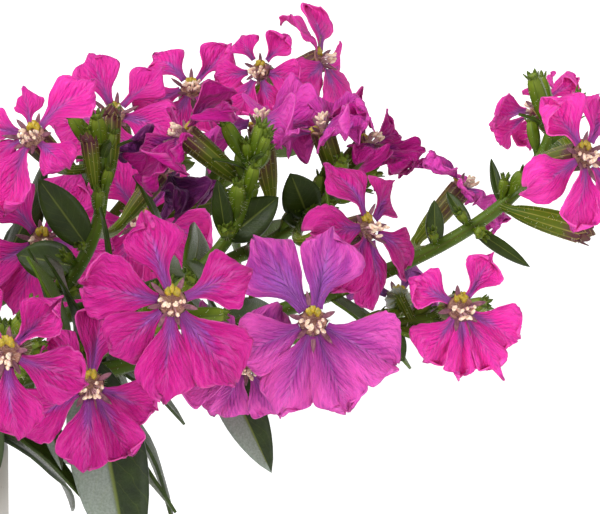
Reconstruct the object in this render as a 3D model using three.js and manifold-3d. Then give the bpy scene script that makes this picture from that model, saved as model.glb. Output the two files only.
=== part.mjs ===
// A potted cuphea in full flower: a plain tapered pot, the soil in it, arching leafy stems
// with buds and ribbed calyx tubes, and a six-petalled bloom at the mouth of each tube.
// Millimetres, +Z up, origin on the pot's axis at the face that it stands on.
import * as THREE from "three";
import { mergeVertices } from "three/addons/utils/BufferGeometryUtils.js";
import Module from "manifold-3d";

const wasm = await Module();
wasm.setup();

const SEED = 20731;

// Pot
const POT_HEIGHT = 112;
const POT_RIM_RADIUS = 62;
const POT_FOOT_RADIUS = 47;
const POT_WALL = 4.5;
const POT_FLOOR = 6;
const RIM_BAND = 15;
const RIM_STEP = 1.8;
const DRAIN_RADIUS = 4;
const DRAIN_RING = 26;
const DRAINS = 3;
const EDGE = 1.5;
const POT_SIDES = 30;

// Soil
const SOIL_TOP = 100;
const SOIL_BRIM = 97;
const SOIL_LUMP = 1.4;
const SOIL_RINGS = 3;
const SOIL_SIDES = 18;
const SEAT_GAP = 0.3;

// Stems
const ROOT_DEPTH = 12;
const HOLE_GAP = 0.7;
const STEM_STEPS = 8;
const STEM_SIDES = 4;
const STEM_FOOT_RADIUS = 2.1;
const STEM_TIP_RADIUS = 1.2;
const KNEE_SHARE = 0.3;
const LOWEST_BRANCH = 0.2;
const BRANCH_STEP = 0.025;

// Blooms and calyx tubes
const THROAT_RADIUS = 2.4;
const PETAL_LENGTH = 12.4;
const FULL_REACH = THROAT_RADIUS + PETAL_LENGTH;
const PETAL_WIDTH = 11.6;
const WIDEST = 0.62;
const CLAW_SHARE = 0.16;
const WIDEST_SECTOR = 50;
const PETAL_HALF_THICKNESS = 0.42;
const PETAL_ANGLES = [-156, -108, -34, 34, 108, 156];
const PETAL_ROWS = [0.42, 0.82];
const THROAT_RISE = 0.75;
const BOSS_RISE = 1.4;
const RUFFLE = 1.7;
const TUBE_LENGTH = 14;
const TUBE_SIDES = 5;
const TUBE_GAP = 0.2;
const STALK_RADIUS = 0.8;
const HEAD_TURNS = [0, 35, -35, 70, -70, 105, -105, 140, -140, 180];
const HEAD_ANGLES = [-60, 60, 180];

// Leaves
const LOW_LEAF_LENGTH = 36;
const HIGH_LEAF_LENGTH = 15;
const LEAF_WIDTH_SHARE = 0.36;
const LEAF_HALF_THICKNESS = 0.42;
const LEAF_ROWS = [0.3, 0.68];
const LEAF_FOLD = 0.22;
const FIRST_LEAF = 0.26;
const LAST_LEAF = 0.95;
const LEAF_SPACING = 15;
const LEAF_TURNS = [0, 28, -28, 56, -56];
const CLEARANCE = 0.35;
const SAME_STEM_CLEARANCE = 0.1;
const LEAF_ROOT_SHARE = 0.2;
const LEAF_FRONT = [0, -0.95, 0.3];

// Buds
const BUDS_A_TIP = 3;
const BUD_LENGTH = 8;
const BUD_RADIUS = 2.2;
const BUD_ROOT = 2;

// Each stem: its hole in the soil, its tip, how steeply the tip rises, how far back that
// direction reaches, how high the foot first rises, and on the right how far up it the leaves
// in pairs go.
const STEMS = [
  { name: "right_long", hole: [32, -4], tip: [160, -4, 170], nod: 80, pull: 38, rise: 46, leafyTo: 0.62 },
  { name: "right_near", hole: [29, 10], tip: [79, 4, 165], nod: 97, pull: 36, rise: 42, leafyTo: 0.66 },
  { name: "right_middle", hole: [36, 3], tip: [106, -2, 164], nod: 92, pull: 34, rise: 46, leafyTo: 0.7 },
  { name: "right_upper", hole: [22, 18], tip: [122, 10, 158], nod: 50, pull: 34, rise: 54, leafyTo: 0.8 },
  { name: "right_low", hole: [33, -13], tip: [141, -8, 136], nod: 10, pull: 40, rise: 44, leafyTo: 0.62 },
  { name: "front_right", hole: [28, -22], tip: [92, -30, 139], nod: 40, pull: 26, rise: 42, leafyTo: 0.75 },
  { name: "front_rim", hole: [16, -32], tip: [67, -44, 134], nod: 50, pull: 24, rise: 42, leafyTo: 0.8 },
  { name: "back_right", hole: [22, 28], tip: [84, 68, 160], nod: 60, pull: 36, rise: 52 },
  { name: "back_right_tall", hole: [8, 36], tip: [112, 82, 166], nod: 45, pull: 44, rise: 64 },
  { name: "top", hole: [4, 4], tip: [16, 10, 206], nod: 82, pull: 40, rise: 50 },
  { name: "top_front", hole: [2, -16], tip: [12, -44, 186], nod: 72, pull: 36, rise: 46 },
  { name: "top_left", hole: [-14, 0], tip: [-44, -2, 190], nod: 70, pull: 38, rise: 48 },
  { name: "front_left", hole: [-12, -32], tip: [-42, -86, 160], nod: 54, pull: 34, rise: 42 },
  { name: "left", hole: [-34, -8], tip: [-110, -28, 160], nod: 50, pull: 36, rise: 44 },
  { name: "back_left", hole: [-26, 20], tip: [-76, 62, 166], nod: 56, pull: 36, rise: 46 },
  { name: "back", hole: [-4, 32], tip: [4, 96, 168], nod: 56, pull: 36, rise: 46 },
];

// The blooms on the right, each at its own place: centre, the way it faces and size, and where
// they differ from the others, the angle round the face and the reach of each petal, how far
// the petals lift forward and twist, and whether it grows through the bloom before it.
const BLOOMS = [
  {
    on: "right_near",
    centre: [67.8, -8, 167.8],
    faces: [-0.3, -0.85, 0.42],
    petals: [[-127, 9.5], [-43, 15.5], [17, 9.8], [80, 10.5], [120, 10], [165, 15.5]],
  },
  { on: "right_near", centre: [89, 22, 160], faces: [0.6, 0.1, 0.75], size: 0.6, twist: 0.6 },
  { on: "right_middle", centre: [94.4, 0, 168], faces: [-0.74, -0.21, 0.64], size: 0.8, twist: -0.5 },
  { on: "right_middle", centre: [107.5, 21, 169], faces: [-0.15, 0, 0.97], size: 0.85, twist: 1.1 },
  {
    on: "right_upper",
    centre: [119, 11, 168.5],
    faces: [-0.3, -0.3, 0.9],
    size: 0.7,
    twist: 0.6,
    joins: true,
  },
  {
    on: "right_upper",
    centre: [127.5, 14, 166],
    faces: [0.65, -0.2, 0.72],
    size: 0.7,
    lift: 0.4,
    twist: 0.7,
    joins: true,
  },
  { on: "right_upper", centre: [126.5, -16, 152.2], faces: [0.72, -0.66, 0.2], size: 0.95 },
  { on: "right_long", centre: [144.5, 9, 158], faces: [0.65, 0, 0.76], size: 0.7 },
  { on: "right_long", centre: [159, 16, 172], faces: [-0.5, 0.55, 0.66], size: 0.6 },
  { on: "right_long", centre: [163.6, -24, 165.2], faces: [0.5, -0.85, 0.15], size: 0.95 },
  {
    on: "front_right",
    centre: [94.1, -50, 142],
    faces: [0.05, -0.98, 0.15],
    petals: [[-142, 17.5], [-68, 15], [17, 17], [78, 16], [128, 14], [175, 17]],
  },
  {
    on: "front_right",
    centre: [80, -42.5, 127.6],
    faces: [0.1, -0.98, 0.12],
    petals: [[-152, 14.5], [-112, 12.5], [-10, 15.5], [36, 12], [120, 15], [177, 15]],
  },
  {
    on: "front_rim",
    centre: [68.4, -63, 135.1],
    faces: [-0.1, -0.99, 0],
    petals: [[-112, 14], [-45, 13], [30, 14], [95, 14], [140, 14], [186, 14.5]],
  },
  {
    on: "right_low",
    centre: [117.2, -34, 137.4],
    faces: [0, -0.98, 0.1],
    petals: [[-159, 17], [-118, 17], [-12, 17], [35, 18.3], [115, 14.5], [160, 17]],
  },
  {
    on: "right_low",
    centre: [142.7, -22, 138.7],
    faces: [0.15, -0.97, 0.1],
    petals: [[-150, 13], [-120, 12], [-33, 11.8], [60, 10.8], [143, 12], [180, 12.5]],
  },
  { on: "right_low", centre: [105.7, -22, 129.5], faces: [-0.1, -0.9, -0.4], size: 0.85 },
  {
    on: "right_low",
    centre: [133, 7, 137.5],
    faces: [0, 0.95, -0.1],
    petals: [[-60, 12.5], [20, 8], [110, 8]],
  },
  { on: "back_right", centre: [78, 60, 170], faces: [-0.1, -0.85, 0.5] },
  { on: "back_right", centre: [93, 70, 175], faces: [0.1, -0.8, 0.6], size: 0.9 },
  { on: "back_right", centre: [84, 50, 150], faces: [0, -0.95, 0.1] },
  { on: "back_right", centre: [65, 42, 146], faces: [-0.1, -0.95, 0.2], size: 1.1 },
  { on: "back_right_tall", centre: [107, 66, 179], faces: [-0.3, -0.9, 0.2], size: 0.6 },
  { on: "back_right_tall", centre: [119, 74, 181], faces: [0.85, -0.3, 0.4], size: 0.95 },
];

// Calyx tubes with no petals: one that has shed them and others still shut.
const BARE_TUBES = [
  { on: "right_long", centre: [166, -8, 151], faces: [0.96, -0.1, -0.27], size: 0.9 },
  { on: "right_near", centre: [80.5, 6, 172], faces: [0.02, 0.1, 1], size: 0.7 },
  { on: "right_near", centre: [77, 1, 167.5], faces: [-0.1, -0.2, 0.97], size: 0.4 },
];

// The leaves that show best on the right: from near the first point to the second.
const PLACED_LEAVES = [
  { on: "front_right", from: [82, -34, 122], tip: [86.5, -39, 95], width: 13 },
  { on: "front_right", from: [72, -30, 124], tip: [74.6, -35, 112.6], width: 5 },
  { on: "front_rim", from: [62, -44, 125], tip: [64.6, -42, 112.4], width: 5.5 },
  { on: "right_low", from: [99, -14, 129], tip: [110, -17, 109.5], width: 8 },
  { on: "right_low", from: [129, -8, 136], tip: [133.6, -8, 128], width: 5.5 },
  { on: "right_near", from: [79, 4, 146], tip: [68, 1, 160], width: 7 },
  { on: "right_near", from: [77, 4, 142], tip: [63, 8, 146], width: 7.5 },
  { on: "right_long", from: [147, 0, 148], tip: [156, -6, 144.8], width: 3.6 },
  { on: "right_long", from: [153, -2, 155], tip: [149.3, 0, 164], width: 2.6 },
  { on: "right_long", from: [146, 0, 148], tip: [141.3, 0, 158], width: 3.4 },
  { on: "right_long", from: [140, 0, 146], tip: [139, -3, 156.5], width: 4.5 },
  { on: "right_upper", from: [118, 8, 150], tip: [113.5, 4, 160.5], width: 7.5 },
  { on: "right_upper", from: [116, 8, 146], tip: [112.5, 2, 153], width: 4 },
  { on: "right_middle", from: [104, 0, 147], tip: [100.3, -5, 160], width: 5 },
  { on: "right_middle", from: [105, 0, 147], tip: [111, -3, 157], width: 7 },
];

const COLOURS = {
  pot: 0xd9d5cc,
  soil: 0x35261c,
  stem: 0x3f6a1f,
  bloom: 0xd81f9c,
};

const UP = new THREE.Vector3(0, 0, 1);
const vector = (p) => new THREE.Vector3(...p);
const radians = THREE.MathUtils.degToRad;

// A number from 0 to 1 that depends only on the seed and the keys.
function draw(...keys) {
  let h = SEED;
  for (const key of keys) {
    h = Math.imul(h ^ key, 0x9e3779b1);
    h ^= h >>> 15;
  }
  h = Math.imul(h, 0x85ebca6b);
  h ^= h >>> 13;
  return (h >>> 0) / 4294967296;
}

// A sum of vectors, each times its number.
function sum(...pairs) {
  const total = new THREE.Vector3();
  for (const [v, k] of pairs) total.addScaledVector(v, k);
  return total;
}

// The part of a vector that is square to a direction, one long.
const squareTo = (direction, v) => sum([v, 1], [direction, -direction.dot(v)]).normalize();

// The point at t from 0 to 1 along the stem, and the stem's direction there.
function along(stem, t) {
  const [a, b, c, d] = stem.controls;
  const s = 1 - t;
  const point = sum([a, s * s * s], [b, 3 * s * s * t], [c, 3 * s * t * t], [d, t * t * t]);
  const direction = sum([a, -s * s], [b, s * s - 2 * s * t], [c, 2 * s * t - t * t], [d, t * t]);
  return { point, direction: direction.normalize() };
}

function stemFrom({ name, hole, tip, nod, pull, rise, leafyTo = LAST_LEAF }, index) {
  const foot = vector([...hole, SOIL_TOP - ROOT_DEPTH]);
  const end = vector(tip);
  const outward = end.clone().sub(foot).setZ(0).normalize();
  const knee = sum([foot, 1], [outward, KNEE_SHARE * rise], [UP, rise]);
  const slope = radians(nod);
  const bend = sum([end, 1], [outward, -pull * Math.cos(slope)], [UP, -pull * Math.sin(slope)]);
  const stem = { name, index, outward, leafyTo, controls: [foot, knee, bend, end], length: 0 };
  for (let i = 0; i < STEM_STEPS; i++) {
    const step = along(stem, i / STEM_STEPS).point;
    stem.length += step.distanceTo(along(stem, (i + 1) / STEM_STEPS).point);
  }
  return stem;
}

// Two directions square to the stem, the second the upper one.
function across(direction) {
  const level = new THREE.Vector3().crossVectors(direction, UP).normalize();
  return [level, new THREE.Vector3().crossVectors(level, direction)];
}

// The nearest place on the stem to a point, above its lowest stretch.
function nearestOn(stem, point) {
  let best = null;
  for (let t = LOWEST_BRANCH; t < 1; t += BRANCH_STEP) {
    const place = along(stem, t).point;
    const gap = place.distanceTo(point);
    if (!best || gap < best.gap) best = { place, gap };
  }
  return best.place;
}

// A bloom: its centre, the way it faces, its upper side and left side, and its petals, each
// with its angle round the face, its reach, its half width and the edges of its own sector.
function bloomFrom(form, index, stem) {
  const { centre, faces, lift, twist, size = 1, petals: stated } = form;
  const face = vector(faces).normalize();
  const upright = Math.abs(face.z) > 0.9;
  const top = squareTo(face, upright ? sum([stem.outward, -1], [UP, 0.3]) : UP);
  const left = new THREE.Vector3().crossVectors(face, top);
  const turn = 40 * (draw(index, 1) - 0.5);
  const petals = (stated ?? PETAL_ANGLES).map((petal, k) => {
    const grown = PETAL_LENGTH * size * (0.88 + 0.24 * draw(index, k, 5));
    const jitter = 10 * (draw(index, k, 4) - 0.5);
    const [angle, reach] = stated ? petal : [petal + turn + jitter, THROAT_RADIUS + grown];
    const half = 0.5 * PETAL_WIDTH * (reach / FULL_REACH) * (0.85 + 0.3 * draw(index, k, 6));
    return { angle, reach, half, phase: 2 * Math.PI * draw(index, k, 7) };
  });
  petals.forEach((petal, k) => {
    const before = petals[(k + petals.length - 1) % petals.length].angle - (k === 0 ? 360 : 0);
    const after = petals[(k + 1) % petals.length].angle + (k === petals.length - 1 ? 360 : 0);
    petal.low = (before - petal.angle) / 2;
    petal.high = (after - petal.angle) / 2;
  });
  return {
    index,
    face,
    top,
    left,
    petals,
    centre: vector(centre),
    wide: Math.sqrt(size),
    lift: lift ?? 0.12 + 0.16 * draw(index, 2),
    curl: 0.2 + 0.2 * draw(index, 3),
    twist: twist ?? 0.3 * (draw(index, 17) - 0.5),
  };
}

// The direction at an angle in degrees round the face of a bloom.
function roundFace(bloom, angle) {
  return sum([bloom.top, Math.cos(radians(angle))], [bloom.left, Math.sin(radians(angle))]);
}

// A petal's half width at s from 0, its claw, to 1, its tip, as a share of its widest.
function petalProfile(s) {
  const opened = Math.min(s / WIDEST, 1);
  const claw = CLAW_SHARE + (1 - CLAW_SHARE) * opened * opened * (3 - 2 * opened);
  const past = Math.max(s - WIDEST, 0) / (1.02 - WIDEST);
  return claw * Math.sqrt(1 - past ** 2.6);
}

// A point of a petal, at s along it and t from -1 to 1 across it. It stays in its sector.
function petalPoint(bloom, petal, s, t) {
  const outward = roundFace(bloom, petal.angle);
  const side = new THREE.Vector3().crossVectors(bloom.face, outward);
  const length = petal.reach - THROAT_RADIUS;
  const reach = THROAT_RADIUS + length * (s - 0.3 * bloom.lift * s * s);
  const room = Math.min(Math.abs(t < 0 ? petal.low : petal.high), WIDEST_SECTOR);
  const half = Math.min(petal.half * petalProfile(s), 0.95 * reach * Math.tan(radians(room)));
  const wave = 0.6 * Math.sin(2.6 * t + petal.phase) + 0.4 * Math.sin(5 * s + 2 * t + 2 * petal.phase);
  const bow = length * (bloom.lift * s - bloom.curl * s * s);
  const forward = THROAT_RISE + bow + RUFFLE * s * wave + bloom.twist * half * t;
  return sum([bloom.centre, 1], [outward, reach], [side, half * t], [bloom.face, forward]);
}

// A leaf of the pair j up the stem, on side k. attempt picks one of the turns round the stem.
function leafFrom(stem, j, count, k, attempt) {
  const share = j / (count - 1);
  const { point, direction } = along(stem, FIRST_LEAF + (stem.leafyTo - FIRST_LEAF) * share);
  const [level, upper] = across(direction);
  const keys = [stem.index, j, k];
  const jitter = 24 * (draw(...keys, 8) - 0.5);
  const around = radians(90 * (j % 2) + 180 * k + jitter + LEAF_TURNS[attempt]);
  const outward = sum([level, Math.cos(around)], [upper, Math.sin(around)]);
  const open = radians(46 + 26 * draw(...keys, 9));
  const grown = LOW_LEAF_LENGTH + (HIGH_LEAF_LENGTH - LOW_LEAF_LENGTH) * share * stem.leafyTo;
  const length = grown * (0.82 + 0.36 * draw(...keys, 10));
  const axis = sum([outward, Math.sin(open)], [direction, Math.cos(open)]);
  const normal = sum([direction, Math.sin(open)], [outward, -Math.cos(open)]);
  return {
    base: point,
    axis,
    normal,
    side: new THREE.Vector3().crossVectors(normal, axis),
    length,
    half: 0.5 * LEAF_WIDTH_SHARE * length * (0.8 + 0.3 * draw(...keys, 11)),
    bend: 0.1 + 0.3 * draw(...keys, 12),
  };
}

// A leaf from the stem to a stated tip, with its upper face turned to the front.
function placedLeaf({ from, tip, width }, stem) {
  const base = nearestOn(stem, vector(from));
  const axis = vector(tip).sub(base);
  const length = axis.length();
  axis.normalize();
  const normal = squareTo(axis, vector(LEAF_FRONT));
  const side = new THREE.Vector3().crossVectors(normal, axis);
  return { base, axis, normal, side, length, half: width / 2, bend: 0.06 };
}

// A leaf's half width at s from 0, its base, to 1, its tip, as a share of its widest.
const leafProfile = (s) => 3.13 * s ** 0.75 * (1 - s) ** 0.9;

function leafPoint(leaf, s, t) {
  const over = leaf.half * leafProfile(s) * t;
  const forward = LEAF_FOLD * Math.abs(over) - leaf.bend * leaf.length * s * s;
  return sum([leaf.base, 1], [leaf.axis, leaf.length * s], [leaf.side, over], [leaf.normal, forward]);
}

// A closed mesh as a solid.
function solid(geometry) {
  const bare = geometry.clone();
  bare.deleteAttribute("normal");
  bare.deleteAttribute("uv");
  const merged = mergeVertices(bare, 1e-4);
  return new wasm.Manifold(
    new wasm.Mesh({
      numProp: 3,
      vertProperties: merged.attributes.position.array,
      triVerts: new Uint32Array(merged.index.array),
    }),
  );
}

function solidFrom(points, faces) {
  const geometry = new THREE.BufferGeometry().setFromPoints(points);
  geometry.setIndex(faces.flat());
  return solid(geometry);
}

// A tube through the centres, with a radius at each, closed at both ends.
function tube(centres, radii, sides) {
  const points = [];
  const faces = [];
  let over = null;
  centres.forEach((centre, i) => {
    const before = centres[Math.max(i - 1, 0)];
    const after = centres[Math.min(i + 1, centres.length - 1)];
    const direction = after.clone().sub(before).normalize();
    over = squareTo(direction, over ?? (Math.abs(direction.x) < 0.8 ? vector([1, 0, 0]) : UP));
    const other = new THREE.Vector3().crossVectors(direction, over);
    for (let k = 0; k < sides; k++) {
      const angle = (2 * Math.PI * k) / sides;
      const [x, y] = [radii[i] * Math.cos(angle), radii[i] * Math.sin(angle)];
      points.push(sum([centre, 1], [over, x], [other, y]));
    }
  });
  const last = (centres.length - 1) * sides;
  for (let i = 0; i < last; i += sides)
    for (let k = 0; k < sides; k++) {
      const next = (k + 1) % sides;
      faces.push([i + k, i + next, i + sides + next], [i + k, i + sides + next, i + sides + k]);
    }
  for (let k = 1; k < sides - 1; k++) {
    faces.push([0, k + 1, k], [last, last + k, last + k + 1]);
  }
  return solidFrom(points, faces);
}

// The faces of one side of a blade, over rows of [low edge, middle, high edge] and its tip.
function bladeFaces(rows, tip) {
  const faces = [];
  for (let i = 0; i < rows.length - 1; i++) {
    const [low, middle, high] = rows[i];
    const [nextLow, nextMiddle, nextHigh] = rows[i + 1];
    faces.push([low, nextLow, nextMiddle], [low, nextMiddle, middle]);
    faces.push([middle, nextMiddle, nextHigh], [middle, nextHigh, high]);
  }
  const [low, middle, high] = rows[rows.length - 1];
  faces.push([low, tip, middle], [middle, tip, high]);
  return faces;
}

const reversed = (faces) => faces.map(([a, b, c]) => [a, c, b]);

// A leaf: a folded, arched blade, thickest along its rib and sharp at its edge. It starts at
// the share from along its length.
function leafSolid(leaf, from = 0) {
  const points = [leafPoint(leaf, from, 0), leafPoint(leaf, 1, 0)];
  const upper = [];
  const lower = [];
  for (const s of LEAF_ROWS) {
    const middle = leafPoint(leaf, s, 0);
    const n = points.length;
    points.push(leafPoint(leaf, s, -1), leafPoint(leaf, s, 1));
    points.push(sum([middle, 1], [leaf.normal, LEAF_HALF_THICKNESS]));
    points.push(sum([middle, 1], [leaf.normal, -LEAF_HALF_THICKNESS]));
    upper.push([n, n + 2, n + 1]);
    lower.push([n, n + 3, n + 1]);
  }
  const faces = (rows) => [
    [0, rows[0][0], rows[0][1]],
    [0, rows[0][1], rows[0][2]],
    ...bladeFaces(rows, 1),
  ];
  return solidFrom(points, [...faces(upper), ...reversed(faces(lower))]);
}

// A bloom's petals, joined in a small boss at the throat.
function bloomSolid(bloom) {
  const points = [
    sum([bloom.centre, 1], [bloom.face, THROAT_RISE + BOSS_RISE]),
    sum([bloom.centre, 1], [bloom.face, TUBE_GAP]),
  ];
  for (const petal of bloom.petals) {
    const outward = roundFace(bloom, petal.angle + petal.high);
    points.push(sum([bloom.centre, 1], [outward, THROAT_RADIUS], [bloom.face, THROAT_RISE]));
  }
  const front = [];
  const rear = [];
  const count = bloom.petals.length;
  bloom.petals.forEach((petal, k) => {
    const low = 2 + ((k + count - 1) % count);
    const high = 2 + k;
    const upper = [];
    const lower = [];
    for (const s of PETAL_ROWS) {
      const n = points.length;
      const middle = petalPoint(bloom, petal, s, 0);
      points.push(petalPoint(bloom, petal, s, -1), petalPoint(bloom, petal, s, 1));
      points.push(sum([middle, 1], [bloom.face, PETAL_HALF_THICKNESS]));
      points.push(sum([middle, 1], [bloom.face, -PETAL_HALF_THICKNESS]));
      upper.push([n, n + 2, n + 1]);
      lower.push([n, n + 3, n + 1]);
    }
    const tip = points.push(petalPoint(bloom, petal, 1, 0)) - 1;
    const faces = (hub, rows) => [
      [hub, low, rows[0][1]],
      [hub, rows[0][1], high],
      [low, rows[0][0], rows[0][1]],
      [rows[0][1], rows[0][2], high],
      ...bladeFaces(rows, tip),
    ];
    front.push(...faces(0, upper));
    rear.push(...faces(1, lower));
  });
  return solidFrom(points, [...front, ...reversed(rear)]);
}

// A flower's stalk and calyx tube, from inside the stem to just behind the petals.
function calyxSolid(bloom, stem) {
  const length = TUBE_LENGTH * bloom.wide;
  const base = sum([bloom.centre, 1], [bloom.face, -length]);
  const at = (share) => sum([base, 1], [bloom.face, length * share]);
  const mouth = sum([bloom.centre, 1], [bloom.face, -TUBE_GAP]);
  const centres = [nearestOn(stem, base), base, at(0.35), mouth];
  const radii = [STALK_RADIUS, 1.5 * bloom.wide, 2.6 * bloom.wide, 2.3 * bloom.wide];
  return tube(centres, radii, TUBE_SIDES);
}

function budSolid(stem, n) {
  const { point, direction } = along(stem, 1);
  const [level, upper] = across(direction);
  const around = radians((360 * n) / BUDS_A_TIP + 60 * draw(stem.index, n, 13));
  const outward = sum([level, Math.cos(around)], [upper, Math.sin(around)]);
  const lean = radians(18 + 24 * draw(stem.index, n, 14));
  const axis = sum([outward, Math.sin(lean)], [direction, Math.cos(lean)]);
  const length = BUD_LENGTH * (0.8 + 0.5 * draw(stem.index, n, 15));
  const root = sum([point, 1], [direction, -BUD_ROOT]);
  const at = (share) => sum([root, 1], [axis, BUD_ROOT + length * share]);
  return tube([root, at(0.35), at(1)], [0.7, BUD_RADIUS, 0.5], 4);
}

function stemSolid(stem, extra = 0, steps = STEM_STEPS) {
  const centres = [];
  const radii = [];
  for (let i = 0; i <= steps; i++) {
    const t = i / STEM_STEPS;
    centres.push(along(stem, t).point);
    radii.push(STEM_FOOT_RADIUS + (STEM_TIP_RADIUS - STEM_FOOT_RADIUS) * t + extra);
  }
  centres[0].addScaledVector(UP, -extra);
  return tube(centres, radii, STEM_SIDES);
}

// The pot's wall: its outer and inner radius at a height.
const outerRadius = (z) => {
  const share = z / (POT_HEIGHT - RIM_BAND);
  return POT_FOOT_RADIUS + (POT_RIM_RADIUS - RIM_STEP - POT_FOOT_RADIUS) * share;
};
const innerRadius = (z) => outerRadius(z) - POT_WALL;

function potSolid() {
  const band = POT_HEIGHT - RIM_BAND;
  const profile = [
    [0, 0],
    [POT_FOOT_RADIUS - EDGE, 0],
    [outerRadius(EDGE), EDGE],
    [outerRadius(band), band],
    [POT_RIM_RADIUS, band + EDGE],
    [POT_RIM_RADIUS, POT_HEIGHT - EDGE],
    [POT_RIM_RADIUS - EDGE, POT_HEIGHT],
    [innerRadius(POT_HEIGHT) + EDGE, POT_HEIGHT],
    [innerRadius(POT_HEIGHT - EDGE), POT_HEIGHT - EDGE],
    [innerRadius(POT_FLOOR), POT_FLOOR],
    [0, POT_FLOOR],
  ];
  const points = profile.map(([r, z]) => new THREE.Vector2(r, z));
  const shell = new THREE.LatheGeometry(points, POT_SIDES).rotateX(Math.PI / 2);
  const drains = [];
  for (let i = 0; i < DRAINS; i++) {
    const angle = (2 * Math.PI * i) / DRAINS;
    const [x, y] = [DRAIN_RING * Math.cos(angle), DRAIN_RING * Math.sin(angle)];
    const drain = new THREE.CylinderGeometry(DRAIN_RADIUS, DRAIN_RADIUS, 3 * POT_FLOOR, 10);
    drains.push(solid(drain.rotateX(Math.PI / 2).translate(x, y, POT_FLOOR / 2)));
  }
  return wasm.Manifold.difference([solid(shell), ...drains]);
}

// How far the soil stands above its level.
function soilLump(x, y) {
  const broad = Math.sin(0.31 * x + 1.3) * Math.sin(0.27 * y + 0.4);
  return SOIL_LUMP * (broad + 0.4 * Math.sin(0.9 * x - 0.7 * y));
}

function soilSolid(stems) {
  const bottom = POT_FLOOR + SEAT_GAP;
  const flat = Math.cos(Math.PI / POT_SIDES);
  const foot = innerRadius(bottom) * flat - SEAT_GAP;
  const brim = innerRadius(SOIL_BRIM) * flat - SEAT_GAP;
  const rings = [[foot, bottom], [brim, SOIL_BRIM]];
  for (let i = SOIL_RINGS - 1; i > 0; i--) rings.push([(brim * i) / SOIL_RINGS, null]);
  const points = [vector([0, 0, bottom]), vector([0, 0, SOIL_TOP + soilLump(0, 0)])];
  const faces = [];
  rings.forEach(([radius, z], i) => {
    for (let k = 0; k < SOIL_SIDES; k++) {
      const angle = (2 * Math.PI * k) / SOIL_SIDES;
      const [x, y] = [radius * Math.cos(angle), radius * Math.sin(angle)];
      points.push(vector([x, y, z ?? SOIL_TOP + soilLump(x, y)]));
      const here = 2 + i * SOIL_SIDES + k;
      const next = 2 + i * SOIL_SIDES + ((k + 1) % SOIL_SIDES);
      if (i === 0) faces.push([0, next, here]);
      else faces.push([here - SOIL_SIDES, next - SOIL_SIDES, next], [here - SOIL_SIDES, next, here]);
      if (i === rings.length - 1) faces.push([here, next, 1]);
    }
  });
  const holes = stems.map((stem) => stemSolid(stem, HOLE_GAP, 2));
  return wasm.Manifold.difference([solidFrom(points, faces), ...holes]);
}

// What stands already: each solid with its node's name and its box.
const standing = [];
function stand(node, body) {
  standing.push({ node, body, box: body.boundingBox() });
}

const boxesApart = (a, b) =>
  [0, 1, 2].some((i) => a.min[i] > b.max[i] + CLEARANCE || b.min[i] > a.max[i] + CLEARANCE);

// Whether a solid is clear of what stands in other nodes, and its outer part, where one is
// given, of what stands in its own.
function isClear(node, body, outer = null) {
  const box = body.boundingBox();
  return standing.every((other) => {
    const same = other.node === node;
    if ((same && !outer) || boxesApart(box, other.box)) return true;
    if (same) return other.body.minGap(outer, 1) > SAME_STEM_CLEARANCE;
    return other.body.minGap(body, 1) > CLEARANCE;
  });
}

const stems = STEMS.map(stemFrom);
const stemNamed = new Map(stems.map((stem) => [stem.name, stem]));
const stemParts = new Map(stems.map((stem) => [stem.name, []]));
const bloomParts = new Map();

function grow(parts, name, body) {
  if (!parts.has(name)) parts.set(name, []);
  parts.get(name).push(body);
  stand(name, body);
}

const pot = potSolid();
stand("pot", pot);
for (const stem of stems) grow(stemParts, stem.name, stemSolid(stem));

let bloomCount = 0;
BLOOMS.forEach((form, index) => {
  const stem = stemNamed.get(form.on);
  const bloom = bloomFrom(form, index, stem);
  if (!form.joins) bloomCount++;
  grow(bloomParts, `bloom_${String(bloomCount).padStart(2, "0")}`, bloomSolid(bloom));
  grow(stemParts, form.on, calyxSolid(bloom, stem));
});
BARE_TUBES.forEach((form, i) => {
  const stem = stemNamed.get(form.on);
  grow(stemParts, form.on, calyxSolid(bloomFrom(form, BLOOMS.length + i, stem), stem));
});

// A head of three blooms near a stem's tip. attempt picks one of the turns round the stem.
function headFrom(stem, attempt) {
  const reference = sum([stem.outward, 1], [UP, 0.25]);
  return HEAD_ANGLES.map((turn, n) => {
    const { point, direction } = along(stem, 0.97 - 0.03 * n);
    const outward = squareTo(direction, reference);
    const around = outward.applyAxisAngle(direction, radians(turn + HEAD_TURNS[attempt]));
    const faces = sum([around, 0.9], [direction, 0.35], [UP, 0.1]).normalize();
    const size = 0.88 + 0.22 * draw(stem.index, n, 16);
    const reach = TUBE_LENGTH * Math.sqrt(size);
    const centre = sum([point, 1], [around, 4], [direction, 2 * n], [faces, reach]);
    const form = { centre: centre.toArray(), faces: faces.toArray(), size };
    return bloomFrom(form, 200 + 10 * stem.index + n, stem);
  });
}

const carrying = new Set(BLOOMS.map((form) => form.on));
for (const stem of stems.filter(({ name }) => !carrying.has(name))) {
  for (let attempt = 0; attempt < HEAD_TURNS.length; attempt++) {
    const head = headFrom(stem, attempt);
    const tubes = head.map((bloom) => calyxSolid(bloom, stem));
    const heads = head.map(bloomSolid);
    const clear = heads.every(
      (body, n) =>
        isClear("", body) &&
        [...tubes, ...heads.slice(n + 1)].every((other) => body.minGap(other, 1) > TUBE_GAP),
    );
    if (!clear || !tubes.every((body) => isClear(stem.name, body))) continue;
    heads.forEach((body, n) => grow(bloomParts, `bloom_${stem.name}_${n + 1}`, body));
    for (const body of tubes) grow(stemParts, stem.name, body);
    break;
  }
}

for (const stem of stems)
  for (let n = 0; n < BUDS_A_TIP; n++) {
    const bud = budSolid(stem, n);
    if (isClear(stem.name, bud)) grow(stemParts, stem.name, bud);
  }

for (const form of PLACED_LEAVES) {
  const leaf = placedLeaf(form, stemNamed.get(form.on));
  grow(stemParts, form.on, leafSolid(leaf));
}

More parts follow.
